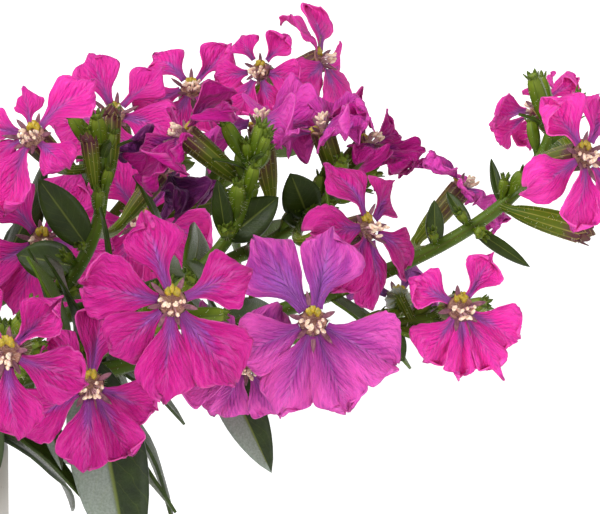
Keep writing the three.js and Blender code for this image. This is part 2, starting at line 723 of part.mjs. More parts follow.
// Leaves in pairs up each stem, each pair turned a quarter from the last. A leaf turns round
// the stem to find room, and one that finds none isn't grown.
for (const stem of stems) {
  const count = Math.round((stem.length * (stem.leafyTo - FIRST_LEAF)) / LEAF_SPACING);
  for (let j = 0; j < count; j++)
    for (let k = 0; k < 2; k++)
      for (let attempt = 0; attempt < LEAF_TURNS.length; attempt++) {
        const leaf = leafFrom(stem, j, count, k, attempt);
        const body = leafSolid(leaf);
        if (!isClear(stem.name, body, leafSolid(leaf, LEAF_ROOT_SHARE))) continue;
        grow(stemParts, stem.name, body);
        break;
      }
}

function mesh(name, body, material) {
  const { vertProperties, triVerts } = body.getMesh();
  const geometry = new THREE.BufferGeometry();
  geometry.setAttribute("position", new THREE.BufferAttribute(vertProperties, 3));
  geometry.setIndex(new THREE.BufferAttribute(triVerts, 1));
  geometry.computeVertexNormals();
  const made = new THREE.Mesh(geometry, material);
  made.name = name;
  return made;
}

const matte = (color, roughness) => new THREE.MeshStandardMaterial({ color, roughness, metalness: 0 });
const stemMaterial = matte(COLOURS.stem, 0.5);
const bloomMaterial = matte(COLOURS.bloom, 0.6);

const plant = new THREE.Group();
plant.add(mesh("pot", pot, matte(COLOURS.pot, 0.4)));
plant.add(mesh("soil", soilSolid(stems), matte(COLOURS.soil, 1)));
for (const [name, bodies] of stemParts)
  plant.add(mesh(`stem_${name}`, wasm.Manifold.union(bodies), stemMaterial));
for (const [name, bodies] of bloomParts)
  plant.add(mesh(name, wasm.Manifold.union(bodies), bloomMaterial));

export default plant;
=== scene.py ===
"""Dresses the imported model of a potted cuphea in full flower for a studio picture.

Finer pieces take the place of the plain solids and keep their form: crinkled petals with
veins, folded leaves, ribbed calyx tubes, hairs, stamens, crumbly compost and a turned pot.
The sizes and growth rules are those of the part's source, in millimetres; +Z is up and the
origin is on the pot's axis at the face that it stands on.
"""

import math

import bpy
import numpy as np
from bpy.props import (
    FloatProperty,
    FloatVectorProperty,
    IntProperty,
    PointerProperty,
)
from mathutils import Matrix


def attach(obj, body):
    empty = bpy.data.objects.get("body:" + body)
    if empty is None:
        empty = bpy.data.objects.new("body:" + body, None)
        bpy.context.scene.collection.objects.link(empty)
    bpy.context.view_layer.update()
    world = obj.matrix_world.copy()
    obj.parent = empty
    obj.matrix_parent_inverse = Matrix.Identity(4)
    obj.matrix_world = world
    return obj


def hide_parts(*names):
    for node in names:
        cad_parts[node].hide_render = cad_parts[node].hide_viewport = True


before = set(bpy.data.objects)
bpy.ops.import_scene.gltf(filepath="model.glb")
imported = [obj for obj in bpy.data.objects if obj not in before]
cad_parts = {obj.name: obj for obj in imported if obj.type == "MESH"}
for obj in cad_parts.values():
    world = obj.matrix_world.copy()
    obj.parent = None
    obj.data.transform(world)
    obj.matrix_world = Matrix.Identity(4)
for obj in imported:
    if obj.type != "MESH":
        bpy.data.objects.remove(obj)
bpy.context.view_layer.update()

bl_info = {
    "name": "Potted Cuphea",
    "version": (1, 0, 0),
    "blender": (4, 5, 0),
    "location": "View3D > Sidebar > Cuphea",
    "description": "Builds the look of a potted cuphea round its packed solids",
    "category": "Object",
}

MM = 0.001
SEED = 20731

# Pot
POT_HEIGHT = 112
POT_RIM_RADIUS = 62
POT_FOOT_RADIUS = 47
POT_WALL = 4.5
POT_FLOOR = 6
RIM_BAND = 15
RIM_STEP = 1.8
DRAIN_RADIUS = 4
DRAIN_RING = 26
DRAINS = 3
EDGE = 1.5

# Soil
SOIL_TOP = 100
SOIL_BRIM = 97
SOIL_LUMP = 1.4
SEAT_GAP = 0.3

# Stems
ROOT_DEPTH = 12
STEM_STEPS = 8
STEM_FOOT_RADIUS = 2.1
STEM_TIP_RADIUS = 1.2
KNEE_SHARE = 0.3
LOWEST_BRANCH = 0.2
BRANCH_STEP = 0.025

# Blooms and calyx tubes
THROAT_RADIUS = 2.4
PETAL_LENGTH = 12.4
FULL_REACH = THROAT_RADIUS + PETAL_LENGTH
PETAL_WIDTH = 11.6
WIDEST = 0.62
CLAW_SHARE = 0.16
WIDEST_SECTOR = 50
PETAL_ANGLES = [-156, -108, -34, 34, 108, 156]
THROAT_RISE = 0.75
RUFFLE = 1.7
TUBE_LENGTH = 14
TUBE_GAP = 0.2
STALK_RADIUS = 0.8
HEAD_TURNS = [0, 35, -35, 70, -70, 105, -105, 140, -140, 180]
HEAD_ANGLES = [-60, 60, 180]

# Leaves
LOW_LEAF_LENGTH = 36
HIGH_LEAF_LENGTH = 15
LEAF_WIDTH_SHARE = 0.36
FIRST_LEAF = 0.26
LAST_LEAF = 0.95
LEAF_SPACING = 15
LEAF_TURNS = [0, 28, -28, 56, -56]
LEAF_FRONT = (0, -0.95, 0.3)

# Buds
BUDS_A_TIP = 3
BUD_LENGTH = 8
BUD_ROOT = 2

# How near a grown piece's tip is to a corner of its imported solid, and how far a bud's tip is
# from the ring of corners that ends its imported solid
MATCH = 0.02
PACKED_BUD_END = 0.5

# A placed leaf no wider than this is drawn slimmer than its imported solid, and one longer than
# this that points down hangs and gets the full painted greyish sheen.
NARROW_LEAF = 5
LONG_LEAF = 14

# Petals within this angle of a bloom's top, in degrees, are its upper ones.
UPPER_PETALS = 70

# The last rows of the table of blooms stand behind the others, and are as plain as the heads.
REAR_BLOOMS = 6

# The heads' blooms are numbered from here for their draws, ten to a stem.
HEAD_NUMBERS = 200

# Rows along a petal and columns across it, in front and further back
NEAR_SHEET = (32, 20)
FAR_SHEET = (17, 12)

# The skin along lines: faces round it, rings along it, ribs and their depth as a share of the
# girth. A user chooses the calyx's ribs.
BARK = {"Sides": 12, "Steps": 90, "Ribs": 4, "Rib depth": 0.05}
CALYX = {"Steps": 26, "Rib depth": 0.09}
BUD = {"Sides": 18, "Steps": 10, "Ribs": 6, "Rib depth": 0.14}

# Blades: rows along one, columns across it, how far its sides fold up and how wavy they are
LEAF_BLADE = {"Rows": 13, "Columns": 7, "Fold": 0.22, "Wave": 0.05}
BUD_TIP = {"Rows": 4, "Columns": 3, "Fold": 0.3, "Wave": 0.0}
CALYX_LOBE = {"Rows": 8, "Columns": 5, "Fold": 0.35, "Wave": 0.0}
BUD_TIP_THICKNESS = 0.2
CALYX_LOBE_THICKNESS = 0.25

# The bark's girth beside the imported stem's, its swelling at a pair of leaves, how much of the
# stem's length that takes, and the steps of its line
BARK_SHARE = 0.84
JOINT_SWELL = 0.14
JOINT_REACH = 0.009
BARK_STEPS = 64

# The girth of the buds at a stem's tip beside the curve of a bud, the lobes that close a bud,
# how many smaller buds and bracts stand round the large ones, and how many buds follow below
# on a stem that is bare there
LARGE_BUD = 0.84
BUD_LOBES = 6
TIP_CROWD = 9
BUDS_BELOW = 5

# A blade's half width rises as s to the first power and falls as 1 - s to the second, and the
# third number makes it 1 at its widest.
BLADE_OPENS = 0.75
BLADE_CLOSES = 0.9
BLADE_PEAK = 3.13

# Faces round each turned piece, rings over the compost and points along a stalk
SOIL_SIDES = 90
SOIL_RINGS = 26
PACKED_SOIL_SIDES = 30
DRAIN_SIDES = 24
MOUTH_SIDES = 36
THROAT_SIDES = 24
LOBE_SIDES = 14
STALK_POINTS = 7

# Hairs: real ones are about a third as thick on the skin and half as thick in the throat, and
# these show at the picture's scale.
HAIR_RADIUS = 0.035
THROAT_HAIR_RADIUS = 0.05
THROAT_HAIR_LENGTH = 1.2
THROAT_HAIRS_NEAR = 6e6
THROAT_HAIRS_FAR = 1.5e6

# Stamens
FILAMENT_RADIUS = 0.13
ANTHER_RADIUS = 0.48

# How much painted greyish sheen shows on a leaf, a reflection of the bright surroundings painted
# on its lit half: on one that hangs beside the front blooms, on the others listed, and on the rest
HANGING_PAINTED_SHEEN = 1.0
PLACED_PAINTED_SHEEN = 0.05
PAINTED_SHEEN = 0.04

# The stage, in metres: where the camera looks, from how many degrees above, where the lights
# look, and the sheet of paper that runs back from the front, curves up and stands behind
CAMERA_AIM = (0.115, 0, 0.146)
CAMERA_TILT = 4
SENSOR_WIDTH = 36
LIGHT_AIM = (0.06, 0, 0.14)
PAPER_FRONT = -12.0
PAPER_BACK = 7.0
PAPER_CURVE = 3.0
PAPER_TOP = 12.0
PAPER_HALF_WIDTH = 16.0

# Each light: its name, its share of the main light's power, its size and its place
LIGHTS = [
    ("Main soft light", 1.0, 0.6, (-0.75, -0.6, 1.05)),
    ("Fill light", 0.4, 0.9, (0.7, -1.05, 0.3)),
]

# How far apart a tree's nodes stand on its page, and how many make a row
NODE_STEP = (190, -260)
NODES_A_ROW = 12

UP = np.array([0.0, 0.0, 1.0])

# Each stem: its name, its hole in the soil, its tip, how steeply the tip rises, how far back
# that direction reaches, how high the foot first rises, and how far up it the pairs of leaves go.
STEMS = [
    ("right_long", (32, -4), (160, -4, 170), 80, 38, 46, 0.62),
    ("right_near", (29, 10), (79, 4, 165), 97, 36, 42, 0.66),
    ("right_middle", (36, 3), (106, -2, 164), 92, 34, 46, 0.7),
    ("right_upper", (22, 18), (122, 10, 158), 50, 34, 54, 0.8),
    ("right_low", (33, -13), (141, -8, 136), 10, 40, 44, 0.62),
    ("front_right", (28, -22), (92, -30, 139), 40, 26, 42, 0.75),
    ("front_rim", (16, -32), (67, -44, 134), 50, 24, 42, 0.8),
    ("back_right", (22, 28), (84, 68, 160), 60, 36, 52, LAST_LEAF),
    ("back_right_tall", (8, 36), (112, 82, 166), 45, 44, 64, LAST_LEAF),
    ("top", (4, 4), (16, 10, 206), 82, 40, 50, LAST_LEAF),
    ("top_front", (2, -16), (12, -44, 186), 72, 36, 46, LAST_LEAF),
    ("top_left", (-14, 0), (-44, -2, 190), 70, 38, 48, LAST_LEAF),
    ("front_left", (-12, -32), (-42, -86, 160), 54, 34, 42, LAST_LEAF),
    ("left", (-34, -8), (-110, -28, 160), 50, 36, 44, LAST_LEAF),
    ("back_left", (-26, 20), (-76, 62, 166), 56, 36, 46, LAST_LEAF),
    ("back", (-4, 32), (4, 96, 168), 56, 36, 46, LAST_LEAF),
]

# The blooms on the right: the stem, the centre, the way it faces and the state of its petals,
# and where they differ from the others, the angle and reach of each petal, the size, how far
# the petals lift and twist, and whether it grows through the bloom before it.
BLOOMS = [
    ("right_near", (67.8, -8, 167.8), (-0.3, -0.85, 0.42), "bright", dict(
        petals=[(-127, 9.5), (-43, 15.5), (17, 9.8), (80, 10.5), (120, 10), (165, 15.5)])),
    ("right_near", (89, 22, 160), (0.6, 0.1, 0.75), "dried", dict(size=0.6, twist=0.6)),
    ("right_middle", (94.4, 0, 168), (-0.74, -0.21, 0.64), "fading", dict(size=0.8, twist=-0.5)),
    ("right_middle", (107.5, 21, 169), (-0.15, 0, 0.97), "wilting", dict(size=0.85, twist=1.1)),
    ("right_upper", (119, 11, 168.5), (-0.3, -0.3, 0.9), "wilting", dict(
        size=0.7, twist=0.6, joins=True)),
    ("right_upper", (127.5, 14, 166), (0.65, -0.2, 0.72), "fading", dict(
        size=0.7, lift=0.4, twist=0.7, joins=True)),
    ("right_upper", (126.5, -16, 152.2), (0.72, -0.66, 0.2), "fresh", dict(size=0.95)),
    ("right_long", (144.5, 9, 158), (0.65, 0, 0.76), "wilting", dict(size=0.7)),
    ("right_long", (159, 16, 172), (-0.5, 0.55, 0.66), "bright", dict(size=0.6)),
    ("right_long", (163.6, -24, 165.2), (0.5, -0.85, 0.15), "bright", dict(size=0.95)),
    ("front_right", (94.1, -50, 142), (0.05, -0.98, 0.15), "fresh", dict(
        petals=[(-142, 17.5), (-68, 15), (17, 17), (78, 16), (128, 14), (175, 17)])),
    ("front_right", (80, -42.5, 127.6), (0.1, -0.98, 0.12), "fresh", dict(
        petals=[(-152, 14.5), (-112, 12.5), (-10, 15.5), (36, 12), (120, 15), (177, 15)])),
    ("front_rim", (68.4, -63, 135.1), (-0.1, -0.99, 0), "fresh", dict(
        petals=[(-112, 14), (-45, 13), (30, 14), (95, 14), (140, 14), (186, 14.5)])),
    ("right_low", (117.2, -34, 137.4), (0, -0.98, 0.1), "violet", dict(
        petals=[(-159, 17), (-118, 17), (-12, 17), (35, 18.3), (115, 14.5), (160, 17)])),
    ("right_low", (142.7, -22, 138.7), (0.15, -0.97, 0.1), "bright", dict(
        petals=[(-150, 13), (-120, 12), (-33, 11.8), (60, 10.8), (143, 12), (180, 12.5)],
        tail=0)),
    ("right_low", (105.7, -22, 129.5), (-0.1, -0.9, -0.4), "violet", dict(size=0.85)),
    ("right_low", (133, 7, 137.5), (0, 0.95, -0.1), "lilac", dict(
        petals=[(-60, 12.5), (20, 8), (110, 8)])),
    # These blooms behind the front ones take the bright colours as painted light: they stand in
    # shade, and the lighter colours make them look lit.
    ("back_right", (78, 60, 170), (-0.1, -0.85, 0.5), "bright", {}),
    ("back_right", (93, 70, 175), (0.1, -0.8, 0.6), "bright", dict(size=0.9)),
    ("back_right", (84, 50, 150), (0, -0.95, 0.1), "bright", {}),
    ("back_right", (65, 42, 146), (-0.1, -0.95, 0.2), "bright", dict(size=1.1)),
    ("back_right_tall", (107, 66, 179), (-0.3, -0.9, 0.2), "bright", dict(size=0.6)),
    ("back_right_tall", (119, 74, 181), (0.85, -0.3, 0.4), "bright", dict(size=0.95)),
]

# Calyx tubes with no petals: one that has shed them and others still shut.
BARE_TUBES = [
    ("right_long", (166, -8, 151), (0.96, -0.1, -0.27), 0.9),
    ("right_near", (80.5, 6, 172), (0.02, 0.1, 1), 0.7),
    ("right_near", (77, 1, 167.5), (-0.1, -0.2, 0.97), 0.4),
]

# The leaves that show best on the right: the stem, near the first point to the second, width.
PLACED_LEAVES = [
    ("front_right", (82, -34, 122), (86.5, -39, 95), 13),
    ("front_right", (72, -30, 124), (74.6, -35, 112.6), 5),
    ("front_rim", (62, -44, 125), (64.6, -42, 112.4), 5.5),
    ("right_low", (99, -14, 129), (110, -17, 109.5), 8),
    ("right_low", (129, -8, 136), (133.6, -8, 128), 5.5),
    ("right_near", (79, 4, 146), (68, 1, 160), 7),
    ("right_near", (77, 4, 142), (63, 8, 146), 7.5),
    ("right_long", (147, 0, 148), (156, -6, 144.8), 3.6),
    ("right_long", (153, -2, 155), (149.3, 0, 164), 2.6),
    ("right_long", (146, 0, 148), (141.3, 0, 158), 3.4),
    ("right_long", (140, 0, 146), (139, -3, 156.5), 4.5),
    ("right_upper", (118, 8, 150), (113.5, 4, 160.5), 7.5),
    ("right_upper", (116, 8, 146), (112.5, 2, 153), 4),
    ("right_middle", (104, 0, 147), (100.3, -5, 160), 5),
    ("right_middle", (105, 0, 147), (111, -3, 157), 7),
]


def linear(code):
    """The linear colour of an sRGB hex code."""
    parts = [int(code[i : i + 2], 16) / 255 for i in (1, 3, 5)]
    return (*[c / 12.92 if c < 0.04045 else ((c + 0.055) / 1.055) ** 2.4 for c in parts], 1.0)


# Growth


def draw(*keys):
    """A number from 0 to 1 that depends only on the seed and the keys, of which the last is
    the draw's own number, so that no two draws agree. The long numbers mix the bits."""
    h = SEED
    for key in keys:
        h = ((h ^ key) * 0x9E3779B1) & 0xFFFFFFFF
        h ^= h >> 15
    h = (h * 0x85EBCA6B) & 0xFFFFFFFF
    h ^= h >> 13
    return h / 4294967296


def vector(values):
    return np.array(values, float)


def unit(v):
    return v / np.linalg.norm(v)


def square_to(direction, v):
    """The part of a vector that is square to a direction, one long."""
    return unit(v - direction * direction.dot(v))


def turned(v, axis, angle):
    """A vector turned about an axis, in degrees."""
    c, s = math.cos(math.radians(angle)), math.sin(math.radians(angle))
    return v * c + np.cross(axis, v) * s + axis * axis.dot(v) * (1 - c)


class Stem:
    """A stem on a curve of four controls, with its length along coarse steps."""

    def __init__(self, index, hole, tip, nod, pull, rise, leafy_to):
        foot, end = vector([*hole, SOIL_TOP - ROOT_DEPTH]), vector(tip)
        self.outward = unit((end - foot) * (1, 1, 0))
        slope = math.radians(nod)
        back = pull * (math.cos(slope) * self.outward + math.sin(slope) * UP)
        knee = foot + KNEE_SHARE * rise * self.outward + rise * UP
        self.index, self.leafy_to = index, leafy_to
        self.controls = (foot, knee, end - back, end)
        steps = [self.along(i / STEM_STEPS)[0] for i in range(STEM_STEPS + 1)]
        self.length = sum(np.linalg.norm(b - a) for a, b in zip(steps, steps[1:]))

    def along(self, t):
        """The point at t from 0 to 1 and the stem's direction there."""
        a, b, c, d = self.controls
        s = 1 - t
        point = a * s**3 + b * 3 * s * s * t + c * 3 * s * t * t + d * t**3
        heading = -a * s * s + b * (s * s - 2 * s * t) + c * (2 * s * t - t * t) + d * t * t
        return point, unit(heading)

    def nearest(self, point):
        """The nearest place on the stem to a point, above its lowest stretch."""
        best, t = None, LOWEST_BRANCH
        while t < 1:
            place = self.along(t)[0]
            gap = np.linalg.norm(place - point)
            if best is None or gap < best[0]:
                best = (gap, place)
            t += BRANCH_STEP
        return best[1]


def round_stem(direction, angle):
    """The way out from a stem at an angle round it, in radians, from its level side."""
    level = unit(np.cross(direction, UP))
    return level * math.cos(angle) + np.cross(level, direction) * math.sin(angle)


def leaning(outward, direction, angle):
    """The axis of a blade or bud that leans outward from a direction by an angle in radians,
    and the way that its upper face looks."""
    axis = outward * math.sin(angle) + direction * math.cos(angle)
    return axis, direction * math.sin(angle) - outward * math.cos(angle)


# The last argument is the share of a painted greyish sheen, a reflection painted on the blade's lit
# half.
def blade(base, axis, normal, size, youth=0.0, painted_sheen=PAINTED_SHEEN):
    """A leaf, bract or lobe; its size is its length, half its width and its bend."""
    return dict(base=base, axis=axis, normal=normal, side=np.cross(normal, axis), size=size,
                youth=youth, painted_sheen=painted_sheen)


def is_upper(petal):
    """Whether a petal is one of the upper ones of its bloom."""
    return abs((petal["angle"] + 180) % 360 - 180) < UPPER_PETALS


class Bloom:
    """A bloom: its centre, the way it faces, its upper and left sides and its petals."""

    def __init__(self, index, stem, centre, faces, look="fresh", size=1, petals=None,
                 lift=None, twist=None, joins=False, tail=None):
        self.index, self.stem, self.look, self.joins = index, stem, look, joins
        self.near = index < len(BLOOMS) - REAR_BLOOMS
        self.centre, self.face = vector(centre), unit(vector(faces))
        upright = abs(self.face[2]) > 0.9
        self.top = square_to(self.face, 0.3 * UP - stem.outward if upright else UP)
        self.left = np.cross(self.face, self.top)
        self.wide = math.sqrt(size)
        self.lift = 0.12 + 0.16 * draw(index, 2) if lift is None else lift
        self.curl = 0.2 + 0.2 * draw(index, 3)
        self.twist = 0.3 * (draw(index, 17) - 0.5) if twist is None else twist
        turn = 40 * (draw(index, 1) - 0.5)
        self.petals = []
        for k, stated in enumerate(petals or PETAL_ANGLES):
            grown = PETAL_LENGTH * size * (0.88 + 0.24 * draw(index, k, 5))
            jitter = 10 * (draw(index, k, 4) - 0.5)
            angle, reach = stated if petals else (stated + turn + jitter, THROAT_RADIUS + grown)
            half = 0.5 * PETAL_WIDTH * (reach / FULL_REACH) * (0.85 + 0.3 * draw(index, k, 6))
            phase = 2 * math.pi * draw(index, k, 7)
            # The roll turns a petal's end back, and the lean tips all of it forward or back.
            roll, lean = max(0, 2 * draw(index, k, 41) - 1), 2 * draw(index, k, 43) - 1
            self.petals.append(dict(angle=angle, reach=reach, half=half, phase=phase,
                                    roll=roll, lean=lean, seed=100 * index + 10 * k,
                                    tail=0.24 if k == tail else 0.0))
        # Low and high are half the angles to the petals before and after.
        last = len(self.petals) - 1
        for k, petal in enumerate(self.petals):
            before = self.petals[k - 1]["angle"] - (360 if k == 0 else 0)
            after = self.petals[0 if k == last else k + 1]["angle"] + (360 if k == last else 0)
            petal["low"] = (before - petal["angle"]) / 2
            petal["high"] = (after - petal["angle"]) / 2

    def round(self, angle):
        """The direction at an angle in degrees round the face."""
        return self.top * math.cos(math.radians(angle)) + self.left * math.sin(math.radians(angle))


def petal_profile(s, end=1.02):
    """A petal's half width at s from 0, its claw, to 1, its tip, as a share of its widest; it
    would close to nothing at the end."""
    opened = np.minimum(s / WIDEST, 1)
    claw = CLAW_SHARE + (1 - CLAW_SHARE) * opened * opened * (3 - 2 * opened)
    past = np.maximum(s - WIDEST, 0) / (end - WIDEST)
    return claw * np.sqrt(1 - past**2.6)


def lattice(x, y, seed):
    """Smooth noise from -1 to 1, with about one grain to each unit. The long numbers mix the
    bits."""
    x, y = np.broadcast_arrays(np.asarray(x, float), np.asarray(y, float))
    i, j = np.floor(x).astype(np.int64), np.floor(y).astype(np.int64)
    u, v = x - i, y - j
    u, v = u * u * (3 - 2 * u), v * v * (3 - 2 * v)

    def corner(a, b):
        h = (a * 374761393 + b * 668265263 + seed * 974634777) & 0xFFFFFFFF
        h = ((h ^ (h >> 13)) * 1274126177) & 0xFFFFFFFF
        return (h ^ (h >> 16)) / 2147483648 - 1

    low = corner(i, j) * (1 - u) + corner(i + 1, j) * u
    high = corner(i, j + 1) * (1 - u) + corner(i + 1, j + 1) * u
    return low * (1 - v) + high * v


def petal_points(bloom, petal, s, t, crumple=0.0, layer=0.0):
    """Points of a petal at s along it and t from -1 to 1 across it.

    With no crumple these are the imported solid's own. With it the claw is slimmer, the margin
    is toothed, folds run out from the claw, and neighbours lap over each other. The layer
    moves a whole petal forward of its neighbours.
    """
    s, t = np.broadcast_arrays(s, t)
    outward = bloom.round(petal["angle"])
    side = np.cross(bloom.face, outward)
    length, phase, seed = petal["reach"] - THROAT_RADIUS, petal["phase"], petal["seed"]
    finer = 1.0 if crumple else 0.0
    upper = is_upper(petal)
    # The margin is ragged at the tip and toothed at the sides, alike on no two sides.
    hand = 3.3 * np.sign(t)
    ragged = 0.07 * lattice(3 * t, 0.5, seed + 2) + 0.04 * lattice(11 * t, 0.5, seed + 3)
    ragged -= (0.2 if upper else 0.1) * t * t
    ragged += petal["tail"] * np.exp(-((t / 0.12) ** 2))
    grown = s * (1 + finer * ragged * s**4)
    reach = THROAT_RADIUS + length * (grown - 0.3 * bloom.lift * s * s)
    room = np.minimum(np.abs(np.where(t < 0, petal["low"], petal["high"])), WIDEST_SECTOR)
    teeth = 0.06 * lattice(9 * s, hand, seed) + 0.045 * lattice(24 * s, hand, seed + 1)
    # Upper petals have a slim claw, and each petal keeps to about its share of the circle.
    waist = (0.34 if upper else 0.1) * np.exp(-(((s - 0.22) / 0.17) ** 2))
    waist += 0.08 if upper else 0.0
    waist += (0.4 if upper else 0.1) * np.maximum(s - 0.6, 0) / 0.4
    half = petal["half"] * petal_profile(s, 1.02 - 0.016 * finer) * (1 + finer * (teeth - waist))
    lap = 0.95 + finer * (0.0 if upper else 0.14 + 0.3 * np.maximum(0.75 - s, -0.1))
    edge = lap * reach * np.tan(np.radians(room))
    if finer:
        half = (half**-6.0 + edge**-6.0) ** (-1 / 6)
    else:
        half = np.minimum(half, edge)
    # Forward of the face come the bow, the ruffle and the twist, then folds and crumples.
    wave = 0.6 * np.sin(2.6 * t + phase) + 0.4 * np.sin(5 * s + 2 * t + 2 * phase)
    bow = length * (bloom.lift * s - bloom.curl * s * s)
    forward = THROAT_RISE + bow + RUFFLE * s * wave + bloom.twist * half * t
    folds = 1.05 * s**0.8 * lattice(1.9 * t + 7, 1.3 * s, seed + 4)
    folds += 0.62 * s * lattice(3.7 * t, 3.1 * s, seed + 5)
    folds += 0.3 * s**0.5 * lattice(7.5 * t, 4.5 * s, seed + 7)
    folds += 0.7 * np.abs(t) ** 3 * np.minimum(2 * s, 1) * lattice(6 * s, hand, seed + 6)
    folds -= 1.5 * petal["roll"] * (np.maximum(s - 0.7, 0) / 0.3) ** 2
    folds -= 0.55 * np.exp(-((t / 0.22) ** 2)) * 4 * s * np.maximum(0.9 - s, 0)
    folds += 0.14 * length * s * petal["lean"]
    forward = forward + crumple * folds + layer * np.minimum(3 * s, 1)
    points = bloom.centre + outward * reach[..., None] + side * (half * t)[..., None]
    return points + bloom.face * forward[..., None]


def leaf_pairs(stem):
    """How many pairs of leaves a stem grows."""
    return round(stem.length * (stem.leafy_to - FIRST_LEAF) / LEAF_SPACING)


def leaf_from(stem, j, count, k, attempt):
    """A leaf of the pair j up the stem, on side k, at one of the turns round the stem."""
    share = j / (count - 1)
    point, direction = stem.along(FIRST_LEAF + (stem.leafy_to - FIRST_LEAF) * share)
    keys = (stem.index, j, k)
    jitter = 24 * (draw(*keys, 8) - 0.5)
    around = math.radians(90 * (j % 2) + 180 * k + jitter + LEAF_TURNS[attempt])
    opened = math.radians(46 + 26 * draw(*keys, 9))
    axis, normal = leaning(round_stem(direction, around), direction, opened)
    grown = LOW_LEAF_LENGTH + (HIGH_LEAF_LENGTH - LOW_LEAF_LENGTH) * share * stem.leafy_to
    length = grown * (0.82 + 0.36 * draw(*keys, 10))
    half = 0.5 * LEAF_WIDTH_SHARE * length * (0.8 + 0.3 * draw(*keys, 11))
    bend = 0.1 + 0.3 * draw(*keys, 12)
    return blade(point, axis, normal, (length, half, bend), youth=0.75 * share**2)


def placed_leaf(stem, start, tip, width):
    """A leaf from the stem to a stated tip, with its upper face turned to the front."""
    base = stem.nearest(vector(start))
    length = np.linalg.norm(vector(tip) - base)
    axis = (vector(tip) - base) / length
    normal = square_to(axis, vector(LEAF_FRONT))
    size = (length, width / 2 if width > NARROW_LEAF else 0.36 * width, 0.06)
    # A long leaf that points down gets the full painted greyish sheen, and the others get a little.
    if length > LONG_LEAF and axis[2] < 0:
        return blade(base, axis, normal, size, painted_sheen=HANGING_PAINTED_SHEEN)
    return blade(base, axis, normal, size, youth=0.16, painted_sheen=PLACED_PAINTED_SHEEN)


def leaf_tip(leaf):
    length, _, bend = leaf["size"]
    return leaf["base"] + leaf["axis"] * length - leaf["normal"] * bend * length


def bud_from(stem, n):
    """A bud's root, inside the stem's tip, its axis and its length."""
    point, direction = stem.along(1)
    around = math.radians(360 * n / BUDS_A_TIP + 60 * draw(stem.index, n, 13))
    lean = math.radians(18 + 24 * draw(stem.index, n, 14))
    axis, _ = leaning(round_stem(direction, around), direction, lean)
    length = BUD_LENGTH * (0.8 + 0.5 * draw(stem.index, n, 15))
    return point - direction * BUD_ROOT, axis, length


def head_from(stem, attempt):
    """A head of three blooms near a stem's tip, at one of the turns round the stem."""
    head = []
    for n, turn in enumerate(HEAD_ANGLES):
        point, direction = stem.along(0.97 - 0.03 * n)
        outward = square_to(direction, stem.outward + 0.25 * UP)
        around = turned(outward, direction, turn + HEAD_TURNS[attempt])
        faces = unit(around * 0.9 + direction * 0.35 + UP * 0.1)
        size = 0.88 + 0.22 * draw(stem.index, n, 16)
        centre = point + around * 4 + direction * 2 * n + faces * TUBE_LENGTH * math.sqrt(size)
        head.append(Bloom(HEAD_NUMBERS + 10 * stem.index + n, stem, centre, faces, size=size))
    return head


class Corners:
    """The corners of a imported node, in millimetres, to tell what grew there."""

    def __init__(self, node):
        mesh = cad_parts[node].data
        flat = np.zeros(3 * len(mesh.vertices))
        mesh.vertices.foreach_get("co", flat)
        self.points = flat.reshape(-1, 3) / MM

    def gap(self, point):
        return np.min(np.linalg.norm(self.points - point, axis=1))


def grow_plant():
    """Everything that grew: the stems, their leaves and buds, the blooms of each node and the
    calyx tubes of each stem."""
    stems = {name: Stem(i, *row) for i, (name, *row) in enumerate(STEMS)}
    corners = {name: Corners(f"stem_{name}") for name in stems}
    tubes = {name: [] for name in stems}
    blooms, count = {}, 0
    for i, (on, centre, faces, look, more) in enumerate(BLOOMS):
        bloom = Bloom(i, stems[on], centre, faces, look, **more)
        count += 0 if bloom.joins else 1
        blooms.setdefault(f"bloom_{count:02d}", []).append(bloom)
        tubes[on].append((bloom, False))
    for i, (on, centre, faces, size) in enumerate(BARE_TUBES):
        tubes[on].append((Bloom(len(BLOOMS) + i, stems[on], centre, faces, size=size), True))
    for name, stem in stems.items():
        if f"bloom_{name}_1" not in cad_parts:
            continue
        first = Corners(f"bloom_{name}_1")
        for attempt in range(len(HEAD_TURNS)):
            head = head_from(stem, attempt)
            if first.gap(petal_points(head[0], head[0].petals[0], 1.0, 0.0)) < MATCH:
                for n, bloom in enumerate(head):
                    blooms[f"bloom_{name}_{n + 1}"] = [bloom]
                    tubes[name].append((bloom, False))
                break
        else:
            raise RuntimeError(f"no head of blooms fits the nodes of {name}")
    leaves = {name: [] for name in stems}
    for on, start, tip, width in PLACED_LEAVES:
        leaves[on].append(placed_leaf(stems[on], start, tip, width))
    for name, stem in stems.items():
        pairs = leaf_pairs(stem)
        for j in range(pairs):
            for k in range(2):
                turns = [leaf_from(stem, j, pairs, k, a) for a in range(len(LEAF_TURNS))]
                leaves[name] += [
                    leaf for leaf in turns if corners[name].gap(leaf_tip(leaf)) < MATCH
                ][:1]
    buds = {name: [] for name in stems}
    for name, stem in stems.items():
        for n in range(BUDS_A_TIP):
            root, axis, length = bud_from(stem, n)
            gap = corners[name].gap(root + axis * (BUD_ROOT + length))
            if abs(gap - PACKED_BUD_END) < MATCH:
                buds[name].append((root, axis, length))
    return stems, leaves, buds, blooms, tubes


# Nodes


def add(tree, kind, inputs=(), stops=(), **settings):
    """Adds a node with its settings. An input takes a value, a socket, a node, whose first
    output in use is linked, or a list of these. Stops are the (place, hex colour) of a ramp."""
    node = tree.nodes.new(kind)
    row, column = divmod(len(tree.nodes), NODES_A_ROW)
    node.location = (NODE_STEP[0] * column, NODE_STEP[1] * row)
    for key, value in settings.items():
        setattr(node, key, value)
    for n, (place, code) in enumerate(stops):
        elements = node.color_ramp.elements
        element = elements[n] if n < len(elements) else elements.new(place)
        element.position, element.color = place, linear(code)
    for key, given in inputs.items() if isinstance(inputs, dict) else enumerate(inputs):
        for value in given if isinstance(given, list) else [given]:
            if isinstance(value, bpy.types.Node):
                value = next(socket for socket in value.outputs if socket.enabled)
            if isinstance(value, bpy.types.NodeSocket):
                tree.links.new(value, node.inputs[key])
            else:
                node.inputs[key].default_value = value
    return node


